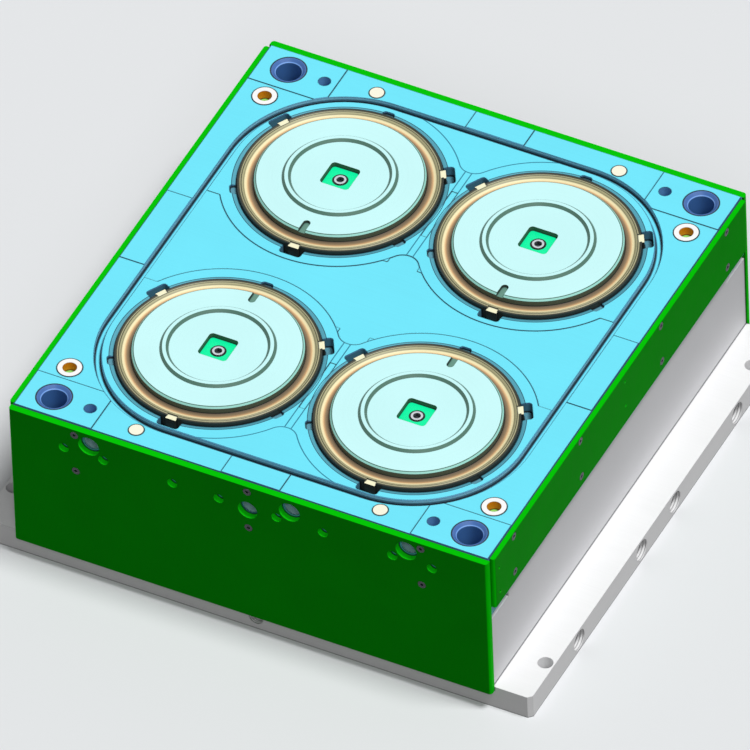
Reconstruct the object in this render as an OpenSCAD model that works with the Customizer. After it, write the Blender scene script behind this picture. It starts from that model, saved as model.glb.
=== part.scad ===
// Moving half of a four-cavity mould for sealing rings.
// X runs along the front edge, Y to the back, Z up. The origin is the middle of the base's underside.
// A stripper ring round each core disc, the push pins and the return pins rise with the ejector plates.

/* [Mould base] */
// Width of the clamp base, across X
base_w = 696; // [690:2:720]
// Thickness of the clamp base
base_t = 32; // [30:1:40]
// Chamfer on the vertical corners of the base
base_corner = 5; // [1:1:10]
// Width of the mould plates outside the middle of the seal groove, at each side
groove_edge_x = 37.4; // [34:0.1:48]
// Depth of the mould plates, along Y
frame_d = 650; // [600:1:720]
// Depth of the mould plates outside the middle of the seal groove, at the front and back
groove_edge_y = 33.8; // [30:0.1:44]
// Height of the spacer blocks
spacer_h = 110; // [108:1:130]
// Width of the spacer blocks
spacer_w = 60; // [58:1:62]
// Thickness of the support plate
support_t = 40; // [36:1:50]
// Thickness of the core plate
core_t = 50; // [48:1:60]
// Chamfer round the top of the core plate
core_chamfer = 1.5; // [0.5:0.5:3]
// Length of the pry notch in a spacer's upper edge
pry_length = 46; // [30:1:60]
// Height of the pry notch
pry_h = 7; // [4:1:10]
// Reach of the pry notch into the spacer
pry_depth = 15; // [8:1:18]

/* [Clamping and lifting] */
// Distance of the clamp holes from the side edge of the base
clamp_edge_x = 11; // [10.5:0.5:14]
// Distance of the clamp holes from the front and back edges
clamp_edge_y = 59; // [40:1:70]
// Radius of the clamp holes
clamp_r = 9; // [7:0.5:9]
// Core radius of the lifting threads in the side of the base
lift_r = 13.25; // [8:0.25:14]
// Y of the inner lifting threads
lift_inner_y = 43; // [40:1:60]
// Y of the outer lifting threads
lift_outer_y = 203; // [190:1:215]
// Depth of the lifting threads
lift_depth = 42; // [30:1:46]
// Radius of the thread in the front and back faces of the base
front_lift_r = 8.75; // [5:0.25:12]
// Radius of the knock-out hole in the middle of the base
knockout_r = 20; // [15:1:25]

/* [Cavities] */
// Gap between the two rings of a row
cavity_gap = 15.6; // [14:0.1:24]
// Height of a disc's flat top above the core plate
disc_rise = 9.6; // [7:0.1:14]
// Gap round a ring, to its disc and to its pocket
ring_gap = 0.3; // [0.1:0.05:0.5]
// Width of the chamfer round a disc's top
disc_chamfer_w = 2.2; // [1:0.1:2.2]
// Draft of a disc's wall above the ring
disc_draft = 0.7; // [0.2:0.1:0.7]
// Distance of the raised bead from its disc's wall
bead_in = 32.5; // [15:0.1:40]
// Width of the raised bead
bead_w = 10.2; // [8:0.1:16]
// Height of the raised bead
bead_h = 3; // [1:0.1:3.6]
// Depth of the pockets for discs and rings
pocket_depth = 14; // [12:0.5:16]
// How far a disc's foot goes below the ring
disc_foot = 4; // [2:0.5:6]
// How far a disc's foot lies inside its wall
foot_step = 9; // [3:1:40]
// Width of the feed slot
gate_w = 8.7; // [4:0.1:12]
// Depth of the feed slot
gate_depth = 3.5; // [1:0.1:5]
// Length of the feed slot, from its round end to the disc's wall
gate_length = 14; // [9:1:24]

/* [Stripper rings] */
// Outer radius of a ring
ring_r = 117.8; // [100:0.1:132]
// Width of a ring, from its bore to its outer edge
ring_w = 18.5; // [17:0.1:20]
// Height of a ring's inner edge above the plate
ring_inner_h = 1.4; // [0.5:0.1:3]
// Distance of the valley's lowest line from the ring's bore
valley_in = 4.7; // [3:0.1:6]
// Height of the bottom of the valley
valley_h = 0.2; // [-1:0.1:1]
// Radius of the valley's round section
valley_section_r = 11.6; // [10:0.1:14]
// Width of the lips outside the valley
lips_w = 5.8; // [5:0.1:7.5]
// Height of the top of the outer lip
lip_h = 3.6; // [3:0.1:5]
// Distance from one fine lip to the next
lip_pitch = 2.2; // [1.6:0.1:2.4]
// Depth of the fine grooves between the lips
lip_depth = 0.9; // [0.4:0.1:1.5]
// Width of a lug
lug_w = 13; // [10:0.5:16]
// How far a lug stands out from the ring
lug_out = 2.7; // [1:0.1:6]
// How far a lug reaches into the ring
lug_in = 4.3; // [3:0.1:6]
// Height of a lug's top
lug_h = 2; // [0.5:0.1:3]
// Width of the plate's lobe round a lug
lobe_w = 27; // [20:0.5:32]
// Distance of the lobe's outer wall from the ring
lobe_out = 13.2; // [9:0.1:14]
// Radius of the corners of the lobes
lobe_corner_r = 4; // [1:0.5:6]
// Width of the plate's small notches between the lobes
notch_w = 15; // [8:0.5:20]
// Distance of the small notches' outer wall from the ring
notch_out = 8.7; // [7:0.1:10]
// Depth of the small notches
notch_depth = 4; // [2:0.5:6]
// How far the sloping land reaches out from the ring
land_out = 6.2; // [3:0.1:7]
// Fall of the sloping land
land_fall = 1.6; // [0.5:0.1:3]

/* [Key blocks] */
// Width of the head of a key block
key_w = 36; // [30:1:44]
// Radius of the corners of the head
key_corner_r = 4.5; // [2:0.5:8]
// Width of the shank of a key block
key_shank_w = 26; // [22:1:28]
// Radius of the corners of the shank
key_shank_corner = 2; // [1:0.5:5]
// Height of a key block's top above the plate
key_top = 3.3; // [2:0.1:6]
// Depth of the ledge that carries the head
key_ledge = 8; // [7:0.5:10]
// Depth of a key block's bottom below the plate's top
key_bottom = 25; // [22:1:28]
// Size of the screw in a key block
key_screw_d = 10; // [8:2:12]
// Height of that screw's head above the block
key_screw_rise = 0.7; // [0:0.1:2]

/* [Seal groove and relief] */
// Distance of the groove's middle from the rings
groove_out = 19.2; // [18.5:0.1:24]
// Width of the groove
groove_w = 8; // [6:0.5:8.5]
// Depth of the groove
groove_depth = 8; // [5:0.5:9]
// Chamfer along the groove's edges
groove_chamfer = 1; // [0.2:0.1:1.2]
// Depth of the relieved faces of the core plate
relief = 0.4; // [0.1:0.1:1]
// Width of the corner pads, across X
pad_w = 98.6; // [92:0.1:110]
// Depth of the corner pads, along Y
pad_d = 60.7; // [56:0.1:64]
// Half width of the pads in the middle of the front and back edges
mid_pad_x = 37; // [20:1:60]
// Half width of the pads in the middle of the side edges
mid_pad_y = 60; // [40:1:80]
// Distance from a row's middle line to the relieved band between the rows
band_in = 75.2; // [66:0.1:84]
// How far the raised land round a cavity reaches out from the ring
raised_out = 20.2; // [16:0.1:22]
// Half width of the fine channel between the cavities of a row
channel_x = 4; // [2:0.5:6]
// Length of that channel
channel_length = 80; // [60:1:100]

/* [Guiding] */
// Distance of the guide bushes from the side of the plates
bush_edge_x = 37.6; // [37:0.1:38]
// Distance of the guide bushes from the front and back of the plates
bush_edge_y = 29.6; // [28:0.1:30]
// Bore radius of the guide bushes
bush_bore_r = 15; // [12:0.5:15]
// Outer radius of the guide bushes
bush_r = 21; // [20:0.5:21.5]
// Radius of the flange at the foot of a guide bush
bush_flange_r = 23.5; // [22.5:0.5:24.5]
// Thickness of that flange
bush_flange_t = 6; // [4:1:8]
// Outer radius of the lead-in chamfer
bush_lead_r = 19; // [17:0.5:19.5]
// Depth of the lead-in chamfer
bush_lead_depth = 3.5; // [2:0.5:6]
// Outer radius of the centring sleeves
sleeve_r = 18; // [17:0.5:18.5]
// Wall of the centring sleeves
sleeve_wall = 2.5; // [2:0.1:2.5]
// How far a centring sleeve goes into the base
sleeve_in_base = 12; // [8:1:16]
// Distance of the plain corner holes from the side of the plates
hole_edge_x = 83.4; // [82:0.1:84]
// Radius of the plain corner holes
hole_r = 7.5; // [5:0.5:8]
// Distance of the landing pads from the side of the plates
landing_edge_x = 32; // [31:0.5:33]
// Distance of the landing pads from the front and back of the plates
landing_edge_y = 79.5; // [78:0.5:81]
// Outer radius of a landing pad
landing_r = 14.75; // [12:0.25:15]
// Bore radius of a landing pad
landing_bore_r = 8.4; // [8.2:0.1:10]
// Height of a landing pad
landing_h = 25; // [24:1:28]
// Floor thickness of a landing pad
landing_floor = 3; // [2:0.5:4]
// Size of the screw in a landing pad
landing_screw_d = 10; // [8:2:10]

/* [Ejector] */
// Gap between the ejector plates and a spacer
ejector_gap = 2; // [1:0.5:3]
// Gap between the ejector plates and the front and back of the mould
ejector_end_gap = 5; // [3:0.5:6]
// Thickness of the ejector base plate
ejector_base_t = 25; // [20:1:28]
// Thickness of the ejector retainer plate
retainer_t = 22; // [18:1:25]
// Height of the rest buttons
button_h = 5; // [3:1:8]
// Radius of the rest buttons
button_r = 12; // [8:1:14]
// Length of a rest button's stem
button_stem = 12; // [8:1:20]
// Distance of the rest buttons from the side of the ejector plates
button_edge_x = 33; // [25:1:40]
// Distance of the rest buttons from the front and back of the ejector plates
button_edge_y = 120; // [110:1:135]
// Distance of the inner rest buttons from the middle
button_inner = 60; // [55:1:66]
// Stroke of the ejector plates
stroke = 30; // [20:1:36]
// Radius of the return pins
return_r = 9; // [7:0.5:9]
// Distance of a return pin from the middle of its cavity, across X
return_out = 28.4; // [26:0.1:32]
// Distance of the return pins from the front and back of the plates
return_edge_y = 21; // [20:0.5:21]
// How far the head of a return pin stands out round it
return_head = 3; // [2:0.5:4]
// Thickness of the heads of the return pins and push pins
pin_head_t = 6; // [4:0.5:8]
// Radius of the push pins
push_r = 3.5; // [2.5:0.5:4]
// How far the push pins lie inside a ring's outer edge
push_in = 1.8; // [1:0.1:3.5]
// How far the head of a push pin stands out round it
push_head = 2.5; // [1.5:0.5:3.5]
// Radius of the thread at the upper end of a push pin
push_thread_r = 2; // [1.5:0.5:2]
// Length of that thread
push_thread_h = 8; // [5:1:10]
// Radius of the support pillars
pillar_r = 30; // [22:1:34]
// Clearance round the pillars in the ejector plates
pillar_clear = 1; // [0.5:0.5:3]
// Size of the pillar screws
pillar_screw_d = 12; // [10:2:16]
// Radius of the ejector guide pins
ejector_pin_r = 10; // [8:0.5:11]
// Distance of the ejector guide pins from the side of the ejector plates
ejector_pin_edge_x = 48; // [43:1:53]
// Distance of the ejector guide pins from the front and back of the ejector plates
ejector_pin_edge_y = 52; // [48:1:58]
// How far the ejector guide pins go into the support plate
ejector_pin_in = 14; // [8:1:20]
// Outer radius of the ejector guide bushes
ejector_bush_r = 15; // [14:0.5:16]
// Radius of their flange
ejector_flange_r = 18; // [17:0.5:19]
// Thickness of their flange
ejector_flange_t = 6; // [4:1:8]
// Outer radius of the stop collars
collar_r = 16; // [14:0.5:18]
// Size of the screws that join the ejector plates
ejector_screw_d = 10; // [8:2:12]
// Distance of those screws from the side of the ejector plates
ejector_screw_edge_x = 33; // [22:1:40]
// Distance of those screws from the front and back of the ejector plates
ejector_screw_edge_y = 20; // [14:1:24]
// X of the inner screws of the ejector plates
ejector_screw_inner_x = 60; // [54:1:66]
// Y of the inner screws of the ejector plates
ejector_screw_inner_y = 115; // [105:1:120]
// X of the screws at the front and back of the ejector plates
ejector_screw_end_x = 75; // [66:1:85]

/* [Joining screws] */
// Size of the long screws through base, spacer and support plate
frame_screw_d = 16; // [12:2:18]
// Distance of the long screws from the side of the plates
frame_screw_edge = 30; // [29:0.5:31]
// Y of the inner long screws
frame_screw_inner_y = 65; // [55:1:80]
// Y of the outer long screws
frame_screw_outer_y = 190; // [180:1:200]
// Size of the screws that join support plate and core plate
plate_screw_d = 12; // [10:2:14]
// Distance of those screws from the side of the plates
plate_screw_edge_x = 85; // [78:1:95]
// Distance of those screws from the front and back of the plates
plate_screw_edge_y = 75; // [65:1:85]

/* [Insulation boards] */
// Thickness of the front and back boards
end_board_t = 8; // [7:0.5:12]
// Height of the front and back boards
end_board_h = 204.5; // [180:0.5:206]
// How far the front and back boards stand past the plates' sides
end_board_over = 2; // [0:0.5:4]
// Radius of the vertical edges of the front and back boards
end_board_corner = 4; // [1:0.5:6]
// Thickness of the side boards
side_board_t = 6; // [5:0.5:10]
// Height of the side boards
side_board_h = 75.5; // [70:0.5:88]
// How far the side boards stop short of the plates' corners
side_board_short = 3.5; // [2:0.5:6]
// Radius of the vertical edges of the side boards
side_board_corner = 3; // [1:0.5:4]
// Size of the board screws
board_screw_d = 6; // [4:1:6]
// Distance of the outer screws of the front and back boards from the side of the plates
end_screw_edge = 81.5; // [76:0.5:88]
// Depth of the upper screws of the front and back boards below the plate's top
end_screw_upper = 10; // [9:0.5:12]
// Depth of the lower screws of the front and back boards below the plate's top
end_screw_lower = 66; // [58:1:72]
// Distance of the outer screws of the side boards from the front and back of the plates
side_screw_edge = 53; // [48:1:60]
// Y of the inner screws of the side boards
side_screw_inner_y = 103; // [95:1:110]
// Depth of the upper screws of the side boards
side_screw_upper = 8; // [7:0.5:9]
// Depth of the lower screws of the side boards
side_screw_lower = 63; // [58:1:68]

/* [Ports and small bores] */
// Bore radius of the ports in the front of the core plate
port_r = 9.5; // [6:0.5:10]
// Depth of the ports
port_depth = 20; // [15:1:20]
// Depth of the outer ports' middle below the plate's top
port_z = 20; // [18.5:0.5:22]
// Depth of the middle port's axis below the plate's top
mid_port_z = 38; // [34:0.5:39]
// Distance of the outer ports from the side of the plates
port_edge_x = 99.7; // [96:0.1:104]
// X of the port right of the middle
side_port_x = 53.4; // [50:0.1:60]
// Clearance round a port in the board
port_clear = 3.8; // [1:0.1:4]
// Radius of the small bores
probe_r = 3.5; // [2:0.5:4]
// Depth of the small bores' axes below the plate's top
probe_z = 34.7; // [33:0.1:37]
// Length of the small bores
probe_depth = 200; // [100:5:210]
// Radius of the board's holes in front of the small bores
probe_board_r = 6.5; // [5:0.5:8]
// X of the small bores next to the middle port
probe_inner_x = 36.5; // [30:0.5:40]
// X of the second small bores
probe_second_x = 95; // [85:0.5:105]
// Distance of the third small bores from the side of the plates
probe_third_edge = 117.5; // [114:0.5:125]
// Distance of the outer small bores from the side of the plates
probe_outer_edge = 67.5; // [62:0.5:74]
// Radius of the small pin holes in the side board
pin_hole_r = 2; // [1:0.5:3]
// Distance of the first pin holes from the board's front
pin_hole_edge = 15; // [10:0.5:25]
// Y of the pin holes in the middle
pin_hole_y = 10.5; // [0:0.5:20]
// Depth of the first upper pin hole below the plate's top
pin_hole_upper = 23; // [18:1:28]
// Depth of the upper pin hole in the middle
pin_hole_mid_upper = 14; // [10:1:20]
// Distance from an upper pin hole down to the lower one
pin_hole_pitch = 37.5; // [30:0.5:44]

/* [Hidden] */
$fn = 96;
// Overlap of a cutting shape past the face it opens
cut = 1;
// Radial clearance of a part that is fixed in its hole
fit = 0.05;
// Radial running clearance of a sliding pin
run = 0.05;
// Radial clearance where a sliding part only passes through
pass = 0.4;
// Radial clearance of a screw in its hole
screw_pass = 0.5;
// Depth by which a sunk screw head lies below the face
head_sink = 1;
// Length of a thread left free past the end of a screw
thread_spare = 3;
// Edge break on pins, and the spare depth of a blind hole
edge = 1;
// Thickness left below a blind thread in the core plate
thread_floor = 2;
// How much more than three quarters of its screw a head's radius is
head_extra = 0.3;
// Gap round a key block
key_clear = 0.15;

spacer_top = base_t + spacer_h;
support_top = spacer_top + support_t;
top = support_top + core_t;

// Round a cavity, from the ring's outer radius
ring_bore_r = ring_r - ring_w;
pocket_r = ring_r + ring_gap;
valley_r = ring_bore_r + valley_in;
lip_r = ring_r - lips_w;
lug_inner_r = ring_r - lug_in;
lobe_r = ring_r + lobe_out;
notch_r = ring_r + notch_out;
land_r = ring_r + land_out;
groove_r = ring_r + groove_out;
raised_r = ring_r + raised_out;
push_pitch_r = ring_r - push_in;
disc_r = ring_bore_r - ring_gap;
disc_flat_r = disc_r - disc_draft - disc_chamfer_w;
disc_wall_top = disc_rise - disc_chamfer_w;
bead_outer_r = disc_r - bead_in;
bead_inner_r = bead_outer_r - bead_w;
foot_r = disc_r - foot_step;
gate_start = disc_r - gate_length;
// Height at which the valley's round reaches the first lip
lip_out = lip_r - valley_r;
valley_top = valley_h + valley_section_r - sqrt(valley_section_r * valley_section_r - lip_out * lip_out);
pocket_floor = top - pocket_depth;
foot_floor = pocket_floor - disc_foot;
key_screw_head = top + key_top + key_screw_rise;

// Across the plates
cavity_x = ring_r + cavity_gap / 2;
plate_side = cavity_x + groove_r + groove_edge_x;
plate_front = frame_d / 2;
cavity_y = plate_front - groove_r - groove_edge_y;
band_y = cavity_y - band_in;
frame_w = 2 * plate_side;
base_side = base_w / 2;
board_top = top - core_chamfer;
spacer_inner = plate_side - spacer_w;
pad_x = plate_side - pad_w;
pad_y = plate_front - pad_d;
bush_x = plate_side - bush_edge_x;
bush_y = plate_front - bush_edge_y;
hole_x = plate_side - hole_edge_x;
landing_x = plate_side - landing_edge_x;
landing_y = plate_front - landing_edge_y;
return_x = cavity_x + return_out;
return_y = plate_front - return_edge_y;
frame_screw_x = plate_side - frame_screw_edge;
end_screw_x = plate_side - end_screw_edge;
side_screw_outer_y = plate_front - side_screw_edge;
port_x = plate_side - port_edge_x;
probe_x = [probe_inner_x, probe_second_x, plate_side - probe_third_edge, plate_side - probe_outer_edge];

// Ejector plates
eject_side = spacer_inner - ejector_gap;
eject_front = plate_front - ejector_end_gap;
eject_z0 = base_t + button_h;
eject_z1 = eject_z0 + ejector_base_t;
eject_z2 = eject_z1 + retainer_t;
collar_z = eject_z2 + stroke;
ejector_pin_x = eject_side - ejector_pin_edge_x;
ejector_pin_y = eject_front - ejector_pin_edge_y;
button_x = eject_side - button_edge_x;
button_y = eject_front - button_edge_y;
button_stem_r = button_r / 3;
return_head_r = return_r + return_head;
push_head_r = push_r + push_head;

// Ends of the threads and of the screws
key_thread_end = core_t - thread_floor;
landing_thread_end = core_t - thread_floor;
landing_screw_top = landing_h - landing_floor - landing_screw_d;
frame_screw_end = support_top + core_t / 2;
plate_screw_end = support_top + core_t / 2;
pillar_screw_end = base_t + 2 * pillar_screw_d;
ejector_screw_end = eject_z2 - thread_spare;
board_head = 0.6 * board_screw_d;
board_screw_reach = 3 * board_screw_d;

// The four quarters of the mould: front left, front right, back left, back right
fl = [-1, -1];
fr = [1, -1];
bl = [-1, 1];
br = [1, 1];
QUARTERS = [fl, fr, bl, br];
// Directions of the lugs and of the small notches round a cavity
LUG_ANGLES = [30, 150, 270];
NOTCH_ANGLES = [90, 210, 330];
EJECTOR_SCREWS = [
    [eject_side - ejector_screw_edge_x, ejector_screw_inner_y],
    [ejector_screw_inner_x, ejector_screw_inner_y],
    [ejector_screw_end_x, eject_front - ejector_screw_edge_y]
];
BUTTONS = [[button_x, 0], [button_x, button_y], [button_inner, button_y], [button_inner, button_inner]];
PLATE_SCREWS = [
    [0, 0],
    [0, plate_front - plate_screw_edge_y], [0, plate_screw_edge_y - plate_front],
    [plate_side - plate_screw_edge_x, 0], [plate_screw_edge_x - plate_side, 0]
];
// Ports on the front: x and depth of the axis
PORTS = [[-port_x, port_z], [0, mid_port_z], [side_port_x, port_z], [port_x, port_z]];
// Pin holes of the right side board: y and depth of the upper one
PIN_HOLES = [[pin_hole_edge - plate_front, pin_hole_upper], [pin_hole_y, pin_hole_mid_upper]];

function head_r(d) = 0.75 * d + head_extra;
function hex_r(d) = round(0.8 * d) / sqrt(3);

module at(c, x, y) {
    translate([c[0] * x, c[1] * y, 0]) children();
}

module quarters(x, y) {
    for (c = QUARTERS) at(c, x, y) children();
}

module rod(r, z0, z1) {
    translate([0, 0, z0]) cylinder(r = r, h = z1 - z0);
}

// Pin with a broken edge at its upper end
module broken_rod(r, z0, z1) {
    rotate_extrude() polygon([[0, z0], [r, z0], [r, z1 - edge], [r - edge, z1], [0, z1]]);
}

// Tube with its bore left open at both ends
module tube(r, bore, z0, z1) {
    difference() {
        rod(r, z0, z1);
        rod(bore, z0 - cut, z1 + cut);
    }
}

module rounded_square(w, r) {
    square([w - 2 * r, w], center = true);
    square([w, w - 2 * r], center = true);
    for (x = [-1, 1], y = [-1, 1]) translate([x * (w / 2 - r), y * (w / 2 - r)]) circle(r);
}

// Socket screw that points up: its head starts at z = 0
module screw_up(d, reach) {
    difference() {
        union() {
            rod(head_r(d), 0, d);
            rod(d / 2, d, reach);
        }
        translate([0, 0, -cut]) cylinder(r = hex_r(d), h = cut + d / 2, $fn = 6);
    }
}

// Socket screw that points down: the top of its head is at z = 0
module screw_down(d, reach) {
    mirror([0, 0, 1]) screw_up(d, reach);
}

// Space for a sunk screw that points up from z = 0: head, free shank and thread
module screw_space(d, free, reach) {
    rod(head_r(d) + screw_pass, -cut, d + head_sink);
    rod(d / 2 + screw_pass, 0, free);
    rod(d / 2 + fit, 0, reach);
}

/* Mould base */

module base_outline() {
    w = base_side;
    d = plate_front;
    c = base_corner;
    polygon([[-w + c, -d], [w - c, -d], [w, -d + c], [w, d - c],
        [w - c, d], [-w + c, d], [-w, d - c], [-w, -d + c]]);
}

module base_plate() {
    color("white") difference() {
        linear_extrude(base_t) base_outline();
        quarters(base_side - clamp_edge_x, plate_front - clamp_edge_y) rod(clamp_r, -cut, base_t + cut);
        rod(knockout_r, -cut, base_t + cut);
        for (s = [-1, 1], y = [-lift_outer_y, -lift_inner_y, lift_inner_y, lift_outer_y])
            translate([s * (base_side + cut), y, base_t / 2])
                rotate([0, -90 * s, 0]) cylinder(r = lift_r, h = lift_depth + cut);
        for (s = [-1, 1])
            translate([0, s * (plate_front + cut), base_t / 2])
                rotate([90 * s, 0, 0]) cylinder(r = front_lift_r, h = lift_depth + cut);
        quarters(bush_x, bush_y) rod(sleeve_r + fit, base_t - sleeve_in_base, base_t + cut);
        frame_screw_places() screw_space(frame_screw_d, base_t + cut, base_t + cut);
        quarters(cavity_x, cavity_y) screw_space(pillar_screw_d, base_t + cut, base_t + cut);
        quarters(ejector_pin_x, ejector_pin_y) rod(ejector_pin_r + fit, edge, base_t + cut);
        button_places() rod(button_stem_r + fit, base_t - button_stem, base_t + cut);
    }
}

module button_places() {
    for (p = BUTTONS) for (c = QUARTERS)
        if (p[1] > 0 || c[1] > 0) at(c, p[0], p[1]) children();
}

module frame_screw_places() {
    for (y = [frame_screw_inner_y, frame_screw_outer_y]) quarters(frame_screw_x, y) children();
}

module spacer(side) {
    color("gainsboro") difference() {
        translate([side > 0 ? spacer_inner : -plate_side, -plate_front, base_t])
            cube([spacer_w, frame_d, spacer_h]);
        for (c = QUARTERS)
            translate([c[0] * plate_side, c[1] * plate_front, spacer_top])
                cube([2 * pry_depth, 2 * pry_length, 2 * pry_h], center = true);
        quarters(bush_x, bush_y) rod(sleeve_r + fit, base_t - cut, spacer_top + cut);
        frame_screw_places() rod(frame_screw_d / 2 + screw_pass, base_t - cut, spacer_top + cut);
    }
}

module support_plate() {
    color("lightcyan") difference() {
        translate([-plate_side, -plate_front, spacer_top]) cube([frame_w, frame_d, support_t]);
        quarters(bush_x, bush_y) rod(sleeve_r + fit, spacer_top - cut, support_top + cut);
        frame_screw_places() rod(frame_screw_d / 2 + screw_pass, spacer_top - cut, support_top + cut);
        quarters(return_x, return_y) rod(return_r + pass, spacer_top - cut, support_top + cut);
        push_pin_places() rod(push_r + pass, spacer_top - cut, support_top + cut);
        quarters(ejector_pin_x, ejector_pin_y)
            rod(ejector_pin_r + fit, spacer_top - cut, spacer_top + ejector_pin_in + edge);
        quarters(cavity_x, cavity_y) rod(pillar_screw_d / 4, spacer_top - cut, spacer_top + cut);
        for (p = PLATE_SCREWS) translate([p[0], p[1], spacer_top])
            screw_space(plate_screw_d, support_t + cut, support_t + cut);
        end_screw_holes(end_screw_lower);
        side_screw_holes(side_screw_lower);
    }
}

/* Core plate */

// The plate with a chamfer round its top
module core_block() {
    intersection() {
        translate([0, plate_front, 0]) rotate([90, 0, 0]) linear_extrude(frame_d) block_profile(plate_side);
        translate([-plate_side, 0, 0]) rotate([90, 0, 90]) linear_extrude(frame_w) block_profile(plate_front);
    }
}

module block_profile(half) {
    c = core_chamfer;
    polygon([[-half, support_top], [half, support_top], [half, top - c],
        [half - c, top], [-half + c, top], [-half, top - c]]);
}

// Section of the seal groove, from its middle line
module groove_section() {
    h = groove_w / 2;
    c = groove_chamfer;
    polygon([[-h - c - cut, cut], [-h - c - cut, 0], [-h - c, 0], [-h, -c], [-h, -groove_depth],
        [h, -groove_depth], [h, -c], [h + c, 0], [h + c + cut, 0], [h + c + cut, cut]]);
}

module seal_groove() {
    translate([0, 0, top]) {
        for (s = [0, 1]) mirror([s, 0, 0])
            translate([cavity_x + groove_r, cavity_y, 0])
                rotate([90, 0, 0]) linear_extrude(2 * cavity_y) groove_section();
        for (s = [0, 1]) mirror([0, s, 0])
            translate([-cavity_x, cavity_y + groove_r, 0])
                rotate([90, 0, 90]) linear_extrude(2 * cavity_x) groove_section();
        for (q = [0:3]) {
            turn = 90 * q;
            sx = (q == 0 || q == 3) ? 1 : -1;
            sy = q < 2 ? 1 : -1;
            translate([sx * cavity_x, sy * cavity_y, 0]) rotate([0, 0, turn])
                rotate_extrude(angle = 90) translate([groove_r, 0]) groove_section();
        }
    }
}

// Pocket for a disc and its ring, with the lobes that clear the lugs
module cavity_pocket() {
    rod(pocket_r, pocket_floor, top + cut);
    translate([0, 0, top]) rotate_extrude()
        polygon([[0, -land_fall], [pocket_r + ring_gap, -land_fall], [land_r, 0], [land_r, cut], [0, cut]]);
    rod(foot_r + fit, foot_floor, pocket_floor + cut);
    for (a = LUG_ANGLES) rotate([0, 0, a]) lobe(lobe_w, lobe_r, pocket_floor);
    for (a = NOTCH_ANGLES) rotate([0, 0, a]) lobe(notch_w, notch_r, top - notch_depth);
    translate([0, 0, top - key_bottom - edge]) linear_extrude(key_bottom) key_shank(key_clear);
    rod(key_screw_d / 2 + fit, top - key_thread_end, top);
}

module lobe(w, r, floor_z) {
    c = lobe_corner_r;
    translate([0, 0, floor_z]) linear_extrude(top - floor_z + cut) {
        translate([r / 2, -w / 2]) square([r / 2 - c, w]);
        translate([r / 2, c - w / 2]) square([r / 2, w - 2 * c]);
        for (s = [-1, 1]) translate([r - c, s * (w / 2 - c)]) circle(c);
    }
}

// Band between the rows of cavities, bounded by the raised lands round them
module relief_band() {
    dip = (raised_r * raised_r - cavity_x * cavity_x - band_in * band_in) / (2 * (band_in - raised_r));
    linear_extrude(relief + cut) difference() {
        union() {
            square([2 * cavity_x, 2 * (band_y - dip)], center = true);
            for (s = [-1, 1]) translate([s * (cavity_x + groove_r / 2), 0])
                square([groove_r + fit, 2 * band_y], center = true);
            for (s = [-1, 1]) translate([0, s * (band_y - dip)]) {
                circle(dip + fit);
                square([2 * dip, 1.2 * dip], center = true);
            }
        }
        quarters(cavity_x, cavity_y) circle(raised_r);
    }
}

// Relieved edges outside the seal groove, between the pads
module relief_edges() {
    out_x = plate_side + cut;
    out_y = plate_front + cut;
    linear_extrude(relief + cut) difference() {
        union() {
            for (s = [-1, 1]) translate([s * (mid_pad_x + pad_x) / 2, 0])
                square([pad_x - mid_pad_x, 2 * out_y], center = true);
            for (s = [-1, 1]) translate([0, s * (mid_pad_y + pad_y) / 2])
                square([2 * out_x, pad_y - mid_pad_y], center = true);
        }
        square([2 * (cavity_x + groove_r), 2 * cavity_y], center = true);
        square([2 * cavity_x, 2 * (cavity_y + groove_r)], center = true);
        quarters(cavity_x, cavity_y) circle(groove_r);
    }
}

module core_plate() {
    color("deepskyblue") difference() {
        core_block();
        quarters(cavity_x, cavity_y) cavity_pocket();
        seal_groove();
        translate([0, 0, top - relief]) relief_band();
        translate([0, 0, top - relief]) relief_edges();
        for (s = [-1, 1]) translate([-channel_x, s * cavity_y - channel_length / 2, top - relief])
            cube([2 * channel_x, channel_length, relief + cut]);
        quarters(bush_x, bush_y) rod(bush_r + fit, support_top - cut, top + cut);
        quarters(bush_x, bush_y) rod(bush_flange_r + fit, support_top - cut, support_top + bush_flange_t);
        quarters(hole_x, bush_y) rod(hole_r, support_top - cut, top + cut);
        quarters(landing_x, landing_y) rod(landing_r + fit, top - landing_h, top + cut);
        quarters(landing_x, landing_y) rod(landing_screw_d / 2 + fit, top - landing_thread_end, top);
        quarters(return_x, return_y) rod(return_r + run, support_top - cut, top + cut);
        push_pin_places() rod(push_r + run, support_top - cut, pocket_floor + cut);
        frame_screw_places() rod(frame_screw_d / 2 + fit, support_top - cut, frame_screw_end + thread_spare);
        for (p = PLATE_SCREWS) translate([p[0], p[1], 0])
            rod(plate_screw_d / 2 + fit, support_top - cut, plate_screw_end + thread_spare);
        ports();
        probe_bores();
        end_screw_holes(end_screw_upper);
        side_screw_holes(side_screw_upper);
    }
}

module ports() {
    for (p = PORTS) translate([p[0], -plate_front, top - p[1]]) rotate([90, 0, 0]) rotate_extrude()
        polygon([[0, cut], [port_r + edge + cut, cut], [port_r, -edge], [port_r, -port_depth],
            [0, -port_depth - port_r / 2]]);
}

module probe_bores() {
    for (x = probe_x, s = [-1, 1]) translate([s * x, -plate_front - cut, top - probe_z])
        rotate([-90, 0, 0]) cylinder(r = probe_r, h = probe_depth + cut);
}

/* Core discs, key blocks and stripper rings */

// Outline of a key block's shank, with a gap round it
module key_shank(gap) {
    rounded_square(key_shank_w + 2 * gap, key_shank_corner + gap);
}

// Outline of a key block's head, with a gap round it
module key_head(gap) {
    rounded_square(key_w + 2 * gap, key_corner_r + gap);
}

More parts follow.
